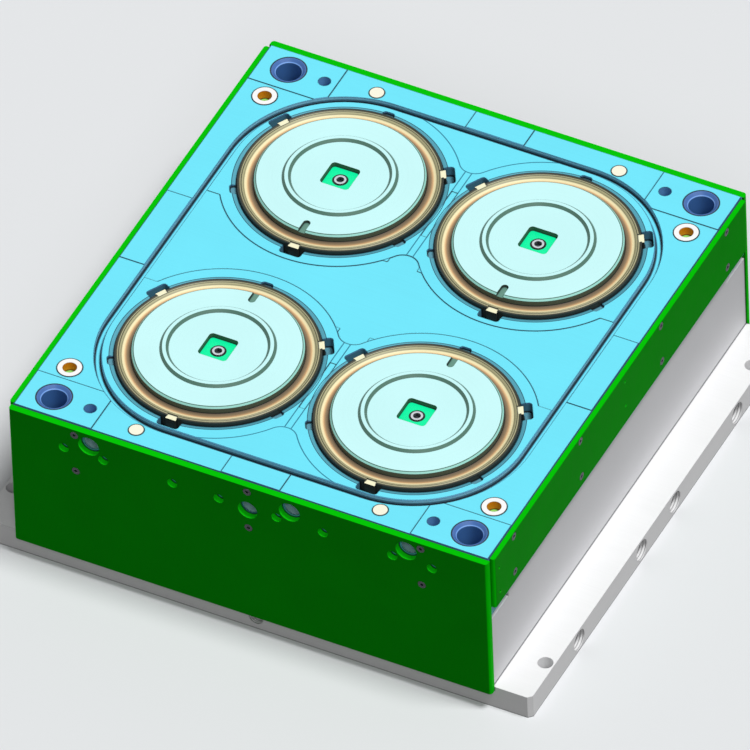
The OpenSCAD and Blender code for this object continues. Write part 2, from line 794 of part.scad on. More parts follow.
module gate_slot() {
    translate([0, 0, top + disc_rise - gate_depth]) {
        translate([0, gate_start, 0]) cylinder(r = gate_w / 2, h = gate_depth + cut);
        translate([-gate_w / 2, gate_start, 0]) cube([gate_w, disc_r, gate_depth + cut]);
    }
}

// Half section of a disc: foot, drafted wall, chamfer and raised bead
module disc_section() {
    bead_top = disc_rise + bead_h;
    polygon([[0, -pocket_depth - disc_foot], [foot_r, -pocket_depth - disc_foot], [foot_r, -pocket_depth],
        [disc_r, -pocket_depth], [disc_r, ring_inner_h], [disc_r - disc_draft, disc_wall_top],
        [disc_flat_r, disc_rise], [bead_outer_r, disc_rise], [bead_outer_r - bead_h, bead_top],
        [bead_inner_r + bead_h, bead_top], [bead_inner_r, disc_rise], [0, disc_rise]]);
}

module core_disc(c) {
    at(c, cavity_x, cavity_y) color("lightcyan") difference() {
        translate([0, 0, top]) rotate_extrude() disc_section();
        rotate([0, 0, c[1] < 0 ? 0 : 180]) gate_slot();
        translate([0, 0, top - key_ledge]) linear_extrude(key_ledge + disc_rise + cut) key_head(key_clear);
        translate([0, 0, foot_floor - cut]) linear_extrude(pocket_depth + disc_foot) key_shank(key_clear);
    }
}

module key_block(c) {
    at(c, cavity_x, cavity_y) color("springgreen") difference() {
        union() {
            translate([0, 0, top - key_ledge]) linear_extrude(key_ledge + key_top) key_head(0);
            translate([0, 0, top - key_bottom]) linear_extrude(key_bottom - key_ledge + cut) key_shank(0);
        }
        rod(head_r(key_screw_d) + screw_pass, key_screw_head - key_screw_d, key_screw_head + cut);
        rod(key_screw_d / 2 + screw_pass, top - key_bottom - cut, top);
    }
}

module key_screws() {
    color("gray") quarters(cavity_x, cavity_y) translate([0, 0, key_screw_head])
        screw_down(key_screw_d, key_screw_head - top + key_thread_end - thread_spare);
}

// Section of a ring above its foot: a round valley and fine lips outside it
module ring_section() {
    difference() {
        translate([ring_bore_r, -pocket_depth]) square([ring_r - ring_bore_r, pocket_depth + lip_h]);
        translate([valley_r, valley_h + valley_section_r]) circle(valley_section_r);
        translate([ring_bore_r - cut, ring_inner_h]) square([valley_r - ring_bore_r + cut, lip_h]);
        translate([valley_r, valley_top]) square([lip_out, lip_h]);
        for (i = [0:1]) translate([lip_r + (i + 0.5) * lip_pitch, lip_h]) lip_groove();
    }
}

// Section of one fine groove, open at the top
module lip_groove() {
    h = lip_pitch / 2;
    polygon([[-h, cut], [-h, -fit], [0, -lip_depth], [h, -fit], [h, cut]]);
}

module stripper_ring(c) {
    at(c, cavity_x, cavity_y) color("moccasin") difference() {
        union() {
            difference() {
                translate([0, 0, top]) rotate_extrude() ring_section();
                for (a = LUG_ANGLES) rotate([0, 0, a])
                    translate([lug_inner_r, -lug_w / 2, top + lug_h]) cube([lug_w, lug_w, lip_h + cut]);
            }
            for (a = LUG_ANGLES) rotate([0, 0, a])
                translate([lug_inner_r, -lug_w / 2, pocket_floor])
                    cube([lug_out + lug_in, lug_w, pocket_depth + lug_h]);
        }
        for (a = LUG_ANGLES) rotate([0, 0, a]) translate([push_pitch_r, 0, 0])
            rod(push_thread_r + fit, pocket_floor - cut, pocket_floor + push_thread_h + edge);
    }
}

/* Guiding */

module guide_bush(c) {
    at(c, bush_x, bush_y) color("midnightblue") rotate_extrude()
        polygon([[bush_bore_r, support_top], [bush_flange_r, support_top],
            [bush_flange_r, support_top + bush_flange_t], [bush_r, support_top + bush_flange_t],
            [bush_r, top],
            [bush_lead_r, top], [bush_bore_r, top - bush_lead_depth]]);
}

module centring_sleeve(c) {
    at(c, bush_x, bush_y) color("steelblue")
        tube(sleeve_r, sleeve_r - sleeve_wall, base_t - sleeve_in_base, support_top);
}

module landing_pad(c) {
    at(c, landing_x, landing_y) color("white") difference() {
        rod(landing_r, top - landing_h, top);
        rod(landing_bore_r, top - landing_h + landing_floor, top + cut);
        rod(landing_screw_d / 2 + screw_pass, top - landing_h - cut, top);
    }
}

module landing_screws() {
    color("darkseagreen") quarters(landing_x, landing_y)
        translate([0, 0, top - landing_screw_top])
            screw_down(landing_screw_d, landing_thread_end - thread_spare - landing_screw_top);
}

/* Support pillars, guide pins and stops below the plates */

module support_pillar(c) {
    at(c, cavity_x, cavity_y) color("slategray") difference() {
        rod(pillar_r, base_t, spacer_top);
        rod(pillar_screw_d / 2 + fit, base_t - cut, pillar_screw_end + thread_spare);
    }
}

module pillar_screws() {
    color("gray") quarters(cavity_x, cavity_y) translate([0, 0, head_sink])
        screw_up(pillar_screw_d, pillar_screw_end - head_sink);
}

module rest_buttons() {
    color("gray") button_places() {
        rod(button_r, base_t, eject_z0);
        rod(button_stem_r, base_t - button_stem + edge, base_t + edge);
    }
}

module ejector_guide_pin(c) {
    at(c, ejector_pin_x, ejector_pin_y) color("silver")
        broken_rod(ejector_pin_r, edge, spacer_top + ejector_pin_in);
}

module stop_collars() {
    color("gray") quarters(ejector_pin_x, ejector_pin_y)
        tube(collar_r, ejector_pin_r + pass, collar_z, spacer_top);
}

module frame_screws() {
    color("gray") frame_screw_places() translate([0, 0, head_sink])
        screw_up(frame_screw_d, frame_screw_end - head_sink);
}

module plate_screws() {
    color("gray") for (p = PLATE_SCREWS) translate([p[0], p[1], spacer_top + head_sink])
        screw_up(plate_screw_d, plate_screw_end - spacer_top - head_sink);
}

/* Insulation boards */

// Board that stands on z0, with rounded vertical edges on its outer side
module board(w, t, h, r) {
    linear_extrude(h) {
        translate([-w / 2, 0]) square([w, t - r]);
        translate([-w / 2 + r, 0]) square([w - 2 * r, t]);
        for (s = [-1, 1]) translate([s * (w / 2 - r), t - r]) circle(r);
    }
}

module end_board() {
    w = frame_w + 2 * end_board_over;
    translate([0, plate_front, board_top - end_board_h]) difference() {
        board(w, end_board_t, end_board_h, end_board_corner);
        for (x = [-end_screw_x, 0, end_screw_x], z = [end_screw_upper, end_screw_lower])
            translate([x, end_board_t, end_board_h + core_chamfer - z]) rotate([90, 0, 0])
                board_screw_space(end_board_t);
    }
}

// Sunk head and free shank of a board screw, from the board's outer face
module board_screw_space(t) {
    rod(head_r(board_screw_d) + screw_pass, -cut, board_head);
    rod(board_screw_d / 2 + screw_pass, 0, t + cut);
}

module board_front() {
    color("green") difference() {
        mirror([0, 1, 0]) end_board();
        for (p = PORTS) board_bore(p[0], p[1], port_r + (p[0] == 0 ? port_clear - edge : port_clear));
        for (x = probe_x, s = [-1, 1]) board_bore(s * x, probe_z, probe_board_r);
    }
}

module board_bore(x, depth, r) {
    translate([x, -plate_front + cut, top - depth]) rotate([90, 0, 0])
        cylinder(r = r, h = end_board_t + 2 * cut);
}

module board_back() {
    color("green") end_board();
}

module side_board() {
    translate([plate_side, 0, board_top - side_board_h]) rotate([0, 0, -90]) difference() {
        board(frame_d - 2 * side_board_short, side_board_t, side_board_h, side_board_corner);
        for (y = [side_screw_outer_y, side_screw_inner_y], z = [side_screw_upper, side_screw_lower])
            for (s = [-1, 1]) translate([s * y, side_board_t, side_board_h + core_chamfer - z])
                rotate([90, 0, 0]) board_screw_space(side_board_t);
    }
}

module board_right() {
    color("green") difference() {
        side_board();
        for (p = PIN_HOLES, drop = [0, pin_hole_pitch]) translate([plate_side - cut, p[0], top - p[1] - drop])
            rotate([0, 90, 0]) cylinder(r = pin_hole_r, h = side_board_t + 2 * cut);
    }
}

module board_left() {
    color("green") mirror([1, 0, 0]) side_board();
}

module end_screw_holes(z) {
    for (x = [-end_screw_x, 0, end_screw_x], s = [-1, 1])
        translate([x, s * (plate_front + cut), top - z]) rotate([90 * s, 0, 0])
            cylinder(r = board_screw_d / 2 + fit, h = board_screw_reach + cut);
}

module side_screw_holes(z) {
    for (y = [side_screw_outer_y, side_screw_inner_y], sy = [-1, 1], s = [-1, 1])
        translate([s * (plate_side + cut), sy * y, top - z]) rotate([0, -90 * s, 0])
            cylinder(r = board_screw_d / 2 + fit, h = board_screw_reach + cut);
}

// Flat-headed socket screw of a board: the top of its head is at z = 0 and it points up
module board_screw(t) {
    difference() {
        union() {
            rod(head_r(board_screw_d), 0, board_head);
            rod(board_screw_d / 2, board_head, t + board_screw_reach - thread_spare);
        }
        translate([0, 0, -cut]) cylinder(r = hex_r(board_screw_d) * 0.8, h = cut + board_head / 2, $fn = 6);
    }
}

module board_screws() {
    color("dimgray") {
        for (x = [-end_screw_x, 0, end_screw_x], z = [end_screw_upper, end_screw_lower], s = [-1, 1])
            translate([x, s * (plate_front + end_board_t), top - z]) rotate([90 * s, 0, 0])
                board_screw(end_board_t);
        for (y = [side_screw_outer_y, side_screw_inner_y], z = [side_screw_upper, side_screw_lower])
            for (sy = [-1, 1], s = [-1, 1])
                translate([s * (plate_side + side_board_t), sy * y, top - z]) rotate([0, -90 * s, 0])
                    board_screw(side_board_t);
    }
}

/* Ejector set */

module push_pin_places() {
    quarters(cavity_x, cavity_y) for (a = LUG_ANGLES) rotate([0, 0, a])
        translate([push_pitch_r, 0, 0]) children();
}

module ejector_screw_places() {
    for (p = EJECTOR_SCREWS) quarters(p[0], p[1]) children();
}

module ejector_blank(z0, z1) {
    translate([-eject_side, -eject_front, z0]) cube([2 * eject_side, 2 * eject_front, z1 - z0]);
}

module ejector_base_plate() {
    color("lightsteelblue") difference() {
        ejector_blank(eject_z0, eject_z1);
        quarters(cavity_x, cavity_y) rod(pillar_r + pillar_clear, eject_z0 - cut, eject_z1 + cut);
        quarters(ejector_pin_x, ejector_pin_y) rod(ejector_bush_r + fit, eject_z0 - cut, eject_z1 + cut);
        ejector_screw_places() translate([0, 0, eject_z0])
            screw_space(ejector_screw_d, ejector_base_t + cut, ejector_base_t + cut);
    }
}

module ejector_retainer_plate() {
    color("lightsteelblue") difference() {
        ejector_blank(eject_z1, eject_z2);
        quarters(cavity_x, cavity_y) rod(pillar_r + pillar_clear, eject_z1 - cut, eject_z2 + cut);
        quarters(ejector_pin_x, ejector_pin_y) rod(ejector_bush_r + fit, eject_z1 - cut, eject_z2 + cut);
        quarters(ejector_pin_x, ejector_pin_y)
            rod(ejector_flange_r + fit, eject_z1 - cut, eject_z1 + ejector_flange_t);
        quarters(return_x, return_y) pin_seat(return_r, return_head_r);
        push_pin_places() pin_seat(push_r, push_head_r);
        ejector_screw_places() rod(ejector_screw_d / 2 + fit, eject_z1 - cut, ejector_screw_end + edge);
    }
}

module pin_seat(r, head) {
    rod(r + fit, eject_z1 - cut, eject_z2 + cut);
    rod(head + fit, eject_z1 - cut, eject_z1 + pin_head_t);
}

module ejector_screws() {
    color("gray") ejector_screw_places() translate([0, 0, eject_z0 + head_sink])
        screw_up(ejector_screw_d, ejector_screw_end - eject_z0 - head_sink);
}

module ejector_guide_bushes() {
    color("darkgoldenrod") quarters(ejector_pin_x, ejector_pin_y) difference() {
        union() {
            rod(ejector_bush_r, eject_z0, eject_z2);
            rod(ejector_flange_r, eject_z1, eject_z1 + ejector_flange_t);
        }
        rod(ejector_pin_r + run, eject_z0 - cut, eject_z2 + cut);
    }
}

module push_pins() {
    color("lightgoldenrodyellow") push_pin_places() {
        rod(push_head_r, eject_z1, eject_z1 + pin_head_t);
        rod(push_r, eject_z1, pocket_floor);
        rod(push_thread_r, pocket_floor - edge, pocket_floor + push_thread_h);
    }
}

module return_pin(c) {
    at(c, return_x, return_y) color("lightyellow") {
        rod(return_head_r, eject_z1, eject_z1 + pin_head_t);
        rod(return_r, eject_z1, top);
    }
}

base_plate();
spacer(-1);  // spacer_left
spacer(1);  // spacer_right
support_plate();
core_plate();
core_disc(fl);  // core_disc_fl
core_disc(fr);  // core_disc_fr
core_disc(bl);  // core_disc_bl
core_disc(br);  // core_disc_br
key_block(fl);  // key_block_fl
key_block(fr);  // key_block_fr
key_block(bl);  // key_block_bl
key_block(br);  // key_block_br
key_screws();
guide_bush(fl);  // guide_bush_fl
guide_bush(fr);  // guide_bush_fr
guide_bush(bl);  // guide_bush_bl
guide_bush(br);  // guide_bush_br
centring_sleeve(fl);  // centring_sleeve_fl
centring_sleeve(fr);  // centring_sleeve_fr
centring_sleeve(bl);  // centring_sleeve_bl
centring_sleeve(br);  // centring_sleeve_br
landing_pad(fl);  // landing_pad_fl
landing_pad(fr);  // landing_pad_fr
landing_pad(bl);  // landing_pad_bl
landing_pad(br);  // landing_pad_br
landing_screws();
support_pillar(fl);  // support_pillar_fl
support_pillar(fr);  // support_pillar_fr
support_pillar(bl);  // support_pillar_bl
support_pillar(br);  // support_pillar_br
pillar_screws();
rest_buttons();
ejector_guide_pin(fl);  // ejector_guide_pin_fl
ejector_guide_pin(fr);  // ejector_guide_pin_fr
ejector_guide_pin(bl);  // ejector_guide_pin_bl
ejector_guide_pin(br);  // ejector_guide_pin_br
stop_collars();
frame_screws();
plate_screws();
board_front();
board_back();
board_left();
board_right();
board_screws();
ejector_base_plate();
ejector_retainer_plate();
ejector_screws();
ejector_guide_bushes();
stripper_ring(fl);  // stripper_ring_fl
stripper_ring(fr);  // stripper_ring_fr
stripper_ring(bl);  // stripper_ring_bl
stripper_ring(br);  // stripper_ring_br
push_pins();
return_pin(fl);  // return_pin_fl
return_pin(fr);  // return_pin_fr
return_pin(bl);  // return_pin_bl
return_pin(br);  // return_pin_br
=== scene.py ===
# %% [markdown]
# # The moving half of a mould for sealing rings
#
# The object is a press tool: a wide clamp base, two spacer blocks, two thick mould plates, and four round
# core discs, each with a cream stripper ring round it. Every rigid piece comes from the frame with its true
# shape. This lesson is about what a toolmaker would see on those pieces: ground plate, turned discs, cut
# threads, fine grooves that hold a little oil, and green laminate boards.
#
# The frame is loaded first. Its box is measured straight away.

# %% The frame
import bpy
import math
from mathutils import Matrix, Vector


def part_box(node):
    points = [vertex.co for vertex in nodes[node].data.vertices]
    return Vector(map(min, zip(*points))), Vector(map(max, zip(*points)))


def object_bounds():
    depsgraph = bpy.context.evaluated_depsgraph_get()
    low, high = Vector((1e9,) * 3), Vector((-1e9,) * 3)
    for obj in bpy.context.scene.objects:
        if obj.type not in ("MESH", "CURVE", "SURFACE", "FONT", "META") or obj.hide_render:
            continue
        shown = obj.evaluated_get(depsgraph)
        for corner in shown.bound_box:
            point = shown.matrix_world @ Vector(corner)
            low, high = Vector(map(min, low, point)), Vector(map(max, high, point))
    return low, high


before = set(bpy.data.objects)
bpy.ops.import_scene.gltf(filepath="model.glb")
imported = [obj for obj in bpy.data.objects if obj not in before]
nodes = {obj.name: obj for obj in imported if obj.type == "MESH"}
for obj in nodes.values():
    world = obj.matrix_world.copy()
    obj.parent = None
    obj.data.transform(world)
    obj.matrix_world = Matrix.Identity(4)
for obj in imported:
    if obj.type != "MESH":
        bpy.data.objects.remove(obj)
cad_low, cad_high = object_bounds()
bpy.context.scene.view_settings.view_transform = "Standard"
print("the frame measures", [round(v, 4) for v in cad_high - cad_low], "m")

# %% [markdown]
# ## Levels and middles
#
# Most finishes below ask where a point lies: on the top of the core plate, down in a groove, or inside a
# bore. Those levels and middles are read from the frame's own pieces, so they follow the tool when a size
# changes. The holes that no piece fills have no box to read, so their places are written as real sizes.

# %% Levels and places
MM = 0.001
QUARTERS = ("fl", "fr", "bl", "br")


def centre_of(node):
    """Middle of a node's box, which is also the axis of a round piece."""
    low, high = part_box(node)
    return (low + high) / 2


plate_low, plate_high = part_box("core_plate")
base_low, base_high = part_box("base_plate")
plate_top = plate_high.z
base_middle = (base_low.z + base_high.z) / 2
cavities = {q: centre_of(f"key_block_{q}") for q in QUARTERS}
print("plate top at", round(plate_top, 4), "m")
print("cavities at", {q: (round(c.x, 4), round(c.y, 4)) for q, c in cavities.items()})

# %% [markdown]
# ## Shader maths as plain expressions
#
# A node tree is easier to read as a formula. `Wire` wraps one output socket, and adding, subtracting,
# multiplying or dividing wires makes the Math nodes. A vector goes through Vector Math instead, and two
# colours meet in a Mix node, because a Math node would turn a colour grey. Every other node comes from
# `Wire.node`: its type, its settings, then the values or wires of its sockets.

# %% The wire class
class Wire:
    """One output socket, with arithmetic. Wire.tree is the node tree that is being built."""

    tree = None

    def __init__(self, socket):
        self.socket = socket

    @classmethod
    def node(cls, kind, settings=None, sockets=None, out=0):
        """Any other node. Out names the output that is wrapped."""
        made = cls.tree.nodes.new("ShaderNode" + kind)
        for key, value in (settings or {}).items():
            if key == "stops":
                cls.set_stops(made.color_ramp, value)
            else:
                setattr(made, key, value)
        for key, value in (sockets or {}).items():
            cls.join(made.inputs[key], value)
        return cls(made.outputs[out]) if made.outputs else None

    @staticmethod
    def set_stops(ramp, stops):
        """Stops are pairs of a place from 0 to 1 and a colour."""
        while len(ramp.elements) < len(stops):
            ramp.elements.new(1.0)
        for element, (position, colour) in zip(ramp.elements, stops):
            element.position = position
            element.color = (*colour, 1)

    @classmethod
    def join(cls, socket, value):
        if isinstance(value, Wire):
            cls.tree.links.new(value.socket, socket)
        elif socket.type == "RGBA":
            socket.default_value = (*value, 1)
        else:
            socket.default_value = value

    def _maths(self, operation, other, flip=False):
        pair = (other, self) if flip else (self, other)
        if self.socket.type == "VECTOR":
            return Wire.node("VectorMath", {"operation": operation}, dict(enumerate(pair)))
        return Wire.node("Math", {"operation": operation}, dict(enumerate(pair)))

    def __add__(self, other):
        return self._maths("ADD", other)

    def __radd__(self, other):
        return self._maths("ADD", other, True)

    def __sub__(self, other):
        return self._maths("SUBTRACT", other)

    def __rsub__(self, other):
        return self._maths("SUBTRACT", other, True)

    def __mul__(self, other):
        return self._maths("MULTIPLY", other)

    def __rmul__(self, other):
        return self._maths("MULTIPLY", other, True)

    def __abs__(self):
        return Wire.node("Math", {"operation": "ABSOLUTE"}, {0: self})

    def sine(self):
        """The angle is in radians."""
        return Wire.node("Math", {"operation": "SINE"}, {0: self})

    def root(self):
        return Wire.node("Math", {"operation": "SQRT"}, {0: self})

    def above(self, level):
        """1 where this is greater than the level, 0 elsewhere."""
        return self._maths("GREATER_THAN", level)

    def below(self, level):
        return self._maths("LESS_THAN", level)

    def near(self, level, reach):
        """1 within reach of a level, 0 elsewhere."""
        return abs(self - level).below(reach)

    def either(self, other):
        """The larger of two masks."""
        return self._maths("MAXIMUM", other)

    def ramp(self, low, high, to_low=0.0, to_high=1.0):
        """Straight change from to_low at low to to_high at high, held beyond both."""
        return Wire.node("MapRange", {"clamp": True}, {"Value": self, "From Min": low, "From Max": high,
                                                       "To Min": to_low, "To Max": to_high})

    def split(self):
        """The X, Y and Z of a vector, from one node."""
        apart = Wire.tree.nodes.new("ShaderNodeSeparateXYZ")
        Wire.join(apart.inputs[0], self)
        return [Wire(output) for output in apart.outputs]


def between(first, second, mask):
    """The first colour where the mask is 0, the second where it is 1."""
    return Wire.node("Mix", {"data_type": "RGBA"}, {0: mask, 6: first, 7: second}, out=2)


print("shader maths is ready")

# %% [markdown]
# ## What a surface can know about itself
#
# A finish needs only a few facts: the place of a point in the tool, how far the surface faces up, whether it
# is an outside edge, and whether it sits in a tight inside corner. Each fact is one short function, which
# keeps the materials themselves readable. How far a face points up is a number from 0 for a wall to 1 for a
# level face, and four limits tell the kinds of faces apart. A point within a hair of a level counts as on it.

# %% Facts about a point
FLAT, LEVEL, SLOPED, WALL = 0.995, 0.9, 0.85, 0.3
HAIR, GAP_W = 0.1 * MM, 0.7 * MM
CORNER_SAMPLES, EDGE_SAMPLES, FAINT_LEAN = 8, 4, 0.08


def place():
    """The point in the tool's own frame, in metres."""
    return Wire.node("TexCoord", out="Object")


def facing():
    """The true direction of the surface, as X, Y and Z. Z is 1 on a floor and 0 on a wall."""
    return Wire.node("NewGeometry", out="True Normal").split()


def distance(across, up):
    """Distance from an axis, given the two offsets from it."""
    return (across * across + up * up).root()


def round_line(across, up, radius, half_width=GAP_W):
    """1 on a thin circle round an axis, which is where the gap round a flush piece is painted dark as shade.
    """
    return distance(across, up).near(radius, half_width)


def noise(vector, scale, roughness):
    """Noise round 0.5."""
    return Wire.node("TexNoise", None, {"Vector": vector, "Scale": scale, "Detail": 2.0,
                                        "Roughness": roughness})


def grain(scale, stretch=(1.0, 1.0, 1.0)):
    """Noise in the tool's own frame, drawn out along an axis whose stretch is small."""
    return noise(place() * stretch, scale, 0.55)


def in_the_open(reach):
    """1 on an open face, falling in an inside corner or gap no wider than reach.

    The underside counts as open, because the floor that the tool stands on is no part of it.
    """
    openness = Wire.node("AmbientOcclusion", {"samples": CORNER_SAMPLES}, {"Distance": reach}, out="AO")
    return openness.either(place().split()[2].below(cad_low.z + HAIR / 2))


def rounded(radius):
    """The direction of the surface, as if its edges had been rounded to a radius."""
    return Wire.node("Bevel", {"samples": EDGE_SAMPLES}, {"Radius": radius})


def on_an_edge(radius, full=0.25):
    """1 along an edge, from how far a rounded direction leans away from the true one.

    Full is the lean that counts as a whole edge, so a small one finds low steps too. An edge starts to show
    at a faint share of it.
    """
    pair = {0: rounded(radius), 1: Wire.node("NewGeometry", out="True Normal")}
    agreement = Wire.node("VectorMath", {"operation": "DOT_PRODUCT"}, pair, out="Value")
    return (1.0 - agreement).ramp(FAINT_LEAN * full, full)


print("surface facts are ready")

# %% [markdown]
# ## One way to finish machined steel
#
# On the real tool every steel face is ground or turned. The cut leaves fine lines, which carry the shine
# along them. Outside edges carry a fine line, bright wear where a stone has broken the edge of bare steel,
# and on some pieces a dark painted shade line. Inside corners and narrow gaps get painted shade, with a finer
# and darker painted line of shade in the very corner. Pieces differ only in colour, in the direction of the
# cut and in how strong those lines are, so one function with a few arguments makes all of them. Broad clouds
# and the lines of the cut also darken a face by a few hundredths and make its shine uneven, because no ground
# face is one even tone. A range says between which two values of the noise, or of the openness of a corner,
# the tone goes over.

# %% Colours and tree ends
def srgb(red, green, blue):
    """A colour as it is seen, 0 to 255, turned by the sRGB curve into the values that a shader wants."""
    seen = (red / 255, green / 255, blue / 255)
    return tuple(((v + 0.055) / 1.055) ** 2.4 if v > 0.04045 else v / 12.92 for v in seen)


BLACK = (0.0, 0.0, 0.0)
# Painted shade for inside corners and narrow gaps, mixed in where light is shut out.
CORNER_SHADE_COLOUR = srgb(14, 26, 34)
BROKEN_EDGE = srgb(236, 246, 252)


def start(name):
    """A new material with an empty tree, which the wires that follow are built in."""
    material = bpy.data.materials.new(name)
    material.use_nodes = True
    material.node_tree.nodes.clear()
    Wire.tree = material.node_tree
    return material


def end(colour, roughness, metallic, normal, mirror):
    """The shader and its output. Mirror is how strongly a bare face reflects the room."""
    shader = Wire.node("BsdfPrincipled", None, {"Base Color": colour, "Roughness": roughness,
                                                "Metallic": metallic, "Normal": normal,
                                                "Specular IOR Level": mirror})
    Wire.node("OutputMaterial", None, {"Surface": shader})


print("a seam is", [round(v, 3) for v in CORNER_SHADE_COLOUR])


# %% Machined steel
CLOUDS, FINE_RINGS, FINE_LINES, ALONG_CUT = 9.0, 1400.0, 900.0, (0.012, 1.0, 1.0)
CLOUD_TONE, CUT_TONE, CLOUD_ROUGH, CUT_ROUGH = 0.965, 0.97, 0.1, 0.12
SOFT_EDGE, RIDGE_H, CUT_H = 0.4 * MM, 1.0 * MM, 0.004 * MM
WIDE_SHADE, SHADE_REACH, LINE_REACH = 4 * MM, 3 * MM, 1.2 * MM
CLOUD_RANGE, CUT_RANGE, SHADE_RANGE, LINE_RANGE = (0.3, 0.7), (0.25, 0.75), (0.2, 0.8), (0.8, 0.97)


def cut_lines(cut, centre):
    """The fine lines of the cut: rings round a middle, straight along X, or even in all directions."""
    if cut == "turned":
        x, y, z = (place() - (centre.x, centre.y, 0.0)).split()
        rings = Wire.node("CombineXYZ", None, {"X": distance(x, y), "Z": z})
        return noise(rings, FINE_RINGS, 0.5)
    return grain(FINE_LINES, ALONG_CUT) if cut == "ground" else grain(FINE_LINES)


def machined(name, colour, cut="ground", centre=None, rough=0.45, metallic=0.0, mirror=0.35,
             shade_reach=SHADE_REACH, painted_shade=0.7, line_reach=LINE_REACH, line=0.65, line_range=LINE_RANGE,
             edge=BROKEN_EDGE, edge_reach=0.5 * MM, edge_full=0.25, edge_wear_and_shade=0.3, ridges=None):
    """A whole material. Colour may be a function and ridges is one, called once the tree is open.

    The strength of the painted shade and the line say how dark the painted shade in an inside corner and the
    finer painted line of shade in it are. The edge strength says how much of the edge colour an outside edge
    takes: bright wear on some pieces, a dark painted shade line on others.
    """
    material = start(name)
    lines = cut_lines(cut, centre)
    cloud = grain(CLOUDS)
    tone = colour() if callable(colour) else colour
    tone = between(BLACK, tone, cloud.ramp(*CLOUD_RANGE, CLOUD_TONE) * lines.ramp(*CUT_RANGE, CUT_TONE))
    # The edge colour is wear where it is bright, and a painted shade line where it is dark.
    tone = between(tone, edge, on_an_edge(edge_reach, edge_full) * edge_wear_and_shade)
    # Painted shade in inside corners and gaps, and a finer painted line of shade in the very corner.
    tone = between(CORNER_SHADE_COLOUR, tone, in_the_open(shade_reach).ramp(*SHADE_RANGE, 1.0 - painted_shade))
    tone = between(CORNER_SHADE_COLOUR, tone, in_the_open(line_reach).ramp(*line_range, 1.0 - line))
    normal = rounded(SOFT_EDGE)
    if ridges:
        normal = Wire.node("Bump", None, {"Distance": RIDGE_H, "Height": ridges(), "Normal": normal})
    normal = Wire.node("Bump", None, {"Distance": CUT_H, "Height": lines, "Normal": normal})
    end(tone, rough + (lines - 0.5) * CUT_ROUGH + (cloud - 0.5) * CLOUD_ROUGH, metallic, normal, mirror)
    return material


print("machined steel is ready")

# %% [markdown]
# ## Threads
#
# The lifting holes in the base and the ports in the core plate are tapped. A thread that small is best made
# as a bump: a sine along the hole's axis, kept to the wall of the hole by a mask. The mask is the distance
# from the hole's axis, so nothing outside the hole is touched. It reaches a little past the wall, and ends a
# little short of the bottom, as a tap does.

# %% Thread ridges
LIFT_HOLES_Y = (43 * MM, 203 * MM)
LIFT_HOLE_R, END_HOLE_R, LIFT_DEPTH = 13.25 * MM, 8.75 * MM, 42 * MM
PORT_R, PORT_DEPTH = 9.5 * MM, 20 * MM
PORTS = ((-200.3 * MM, 20 * MM), (0.0, 38 * MM), (53.4 * MM, 20 * MM), (200.3 * MM, 20 * MM))
LIFT_PITCH, END_PITCH, PORT_PITCH = 3.5 * MM, 2.5 * MM, 1.8 * MM
PAST_WALL, RUN_OUT = 0.4 * MM, 1 * MM
PAST_PORT_WALL, PORT_RUN_OUT = 0.3 * MM, 2 * MM


def ridge(along, pitch):
    """Rises and falls once a pitch."""
    return (along * (2 * math.pi / pitch)).sine() * 0.5 + 0.5


def base_threads():
    """Ridges in the lifting holes of both sides, and in the hole of the front and of the back."""
    x, y, z = place().split()
    up = z - base_middle
    side_holes = sum(distance(abs(y) - hole_y, up).below(LIFT_HOLE_R + PAST_WALL) for hole_y in LIFT_HOLES_Y)
    side_holes = side_holes * abs(x).above(base_high.x - LIFT_DEPTH + RUN_OUT)
    end_holes = distance(x, up).below(END_HOLE_R + PAST_WALL)
    end_holes = end_holes * abs(y).above(base_high.y - LIFT_DEPTH + RUN_OUT)
    return ridge(x, LIFT_PITCH) * side_holes + ridge(y, END_PITCH) * end_holes


def in_a_port(x, z):
    """1 inside a port as it is seen from the front. A port is its X and its depth below the top."""
    reach = PORT_R + PAST_PORT_WALL
    return sum(distance(x - port_x, plate_top - z - port_z).below(reach) for port_x, port_z in PORTS)


def port_threads():
    """Ridges in the ports, which open in the front."""
    x, y, z = place().split()
    return ridge(y, PORT_PITCH) * in_a_port(x, z) * y.below(plate_low.y + PORT_DEPTH - PORT_RUN_OUT)


print("threads in", 4 * len(LIFT_HOLES_Y) + 2, "holes of the base and in", len(PORTS), "ports")

# %% [markdown]
# ## The core plate
#
# The plate is the light blue face that carries everything. Its top is ground flat. Its sides, slopes and
# walls are painted as darker, shaded copies of that blue. The walls of the seal groove are steel blue, with
# painted shade that deepens towards the bottom and into the corners of the floor. Other walls are a plain
# blue, the pockets round the lugs are darker still, and the sloping land round each ring is teal with a dark
# painted shade line where it starts. The ports are painted pale, as painted light inside them. The low steps
# between the raised fields are painted as fine dark lines of shade, and so are the fields' outlines in front
# of and behind the discs. Pins, pads and bushes are flush with the top, and the gap round each of them is
# painted dark as shade. One material does all of it by asking how deep a point lies, which way it faces and
# how far it is from a middle. The four quarters mirror each other, so the distances from the tool's two
# middle planes are enough.

# %% Core plate colours
SKY = srgb(114, 234, 255)
# The colours after the top's are painted shade: darker copies of its blue for the plate's sides, slopes,
# walls, groove and pockets, and dark painted lines for the land, the steps, the fields and the flush gaps.
# The pale port colour is painted light inside the ports.
PLATE_SIDE = srgb(98, 196, 214)
LAND_TEAL = srgb(88, 170, 190)
LAND_LINE = srgb(44, 96, 112)
CHAMFER_BLUE, RIM_BLUE = srgb(84, 156, 196), srgb(30, 66, 108)
WALL_BLUE = srgb(104, 160, 214)
POCKET_TEAL, POCKET_WALL = srgb(92, 154, 172), srgb(76, 128, 150)
GROOVE_UPPER, GROOVE_LOWER, GROOVE_CORNER = srgb(150, 206, 226), srgb(84, 112, 130), srgb(70, 136, 162)
PORT_PALE = srgb(200, 244, 255)
GAP_SHADE = srgb(16, 34, 42)
FIELD_LINE = srgb(28, 108, 138)
print("the top of the plate is", [round(v, 3) for v in SKY])

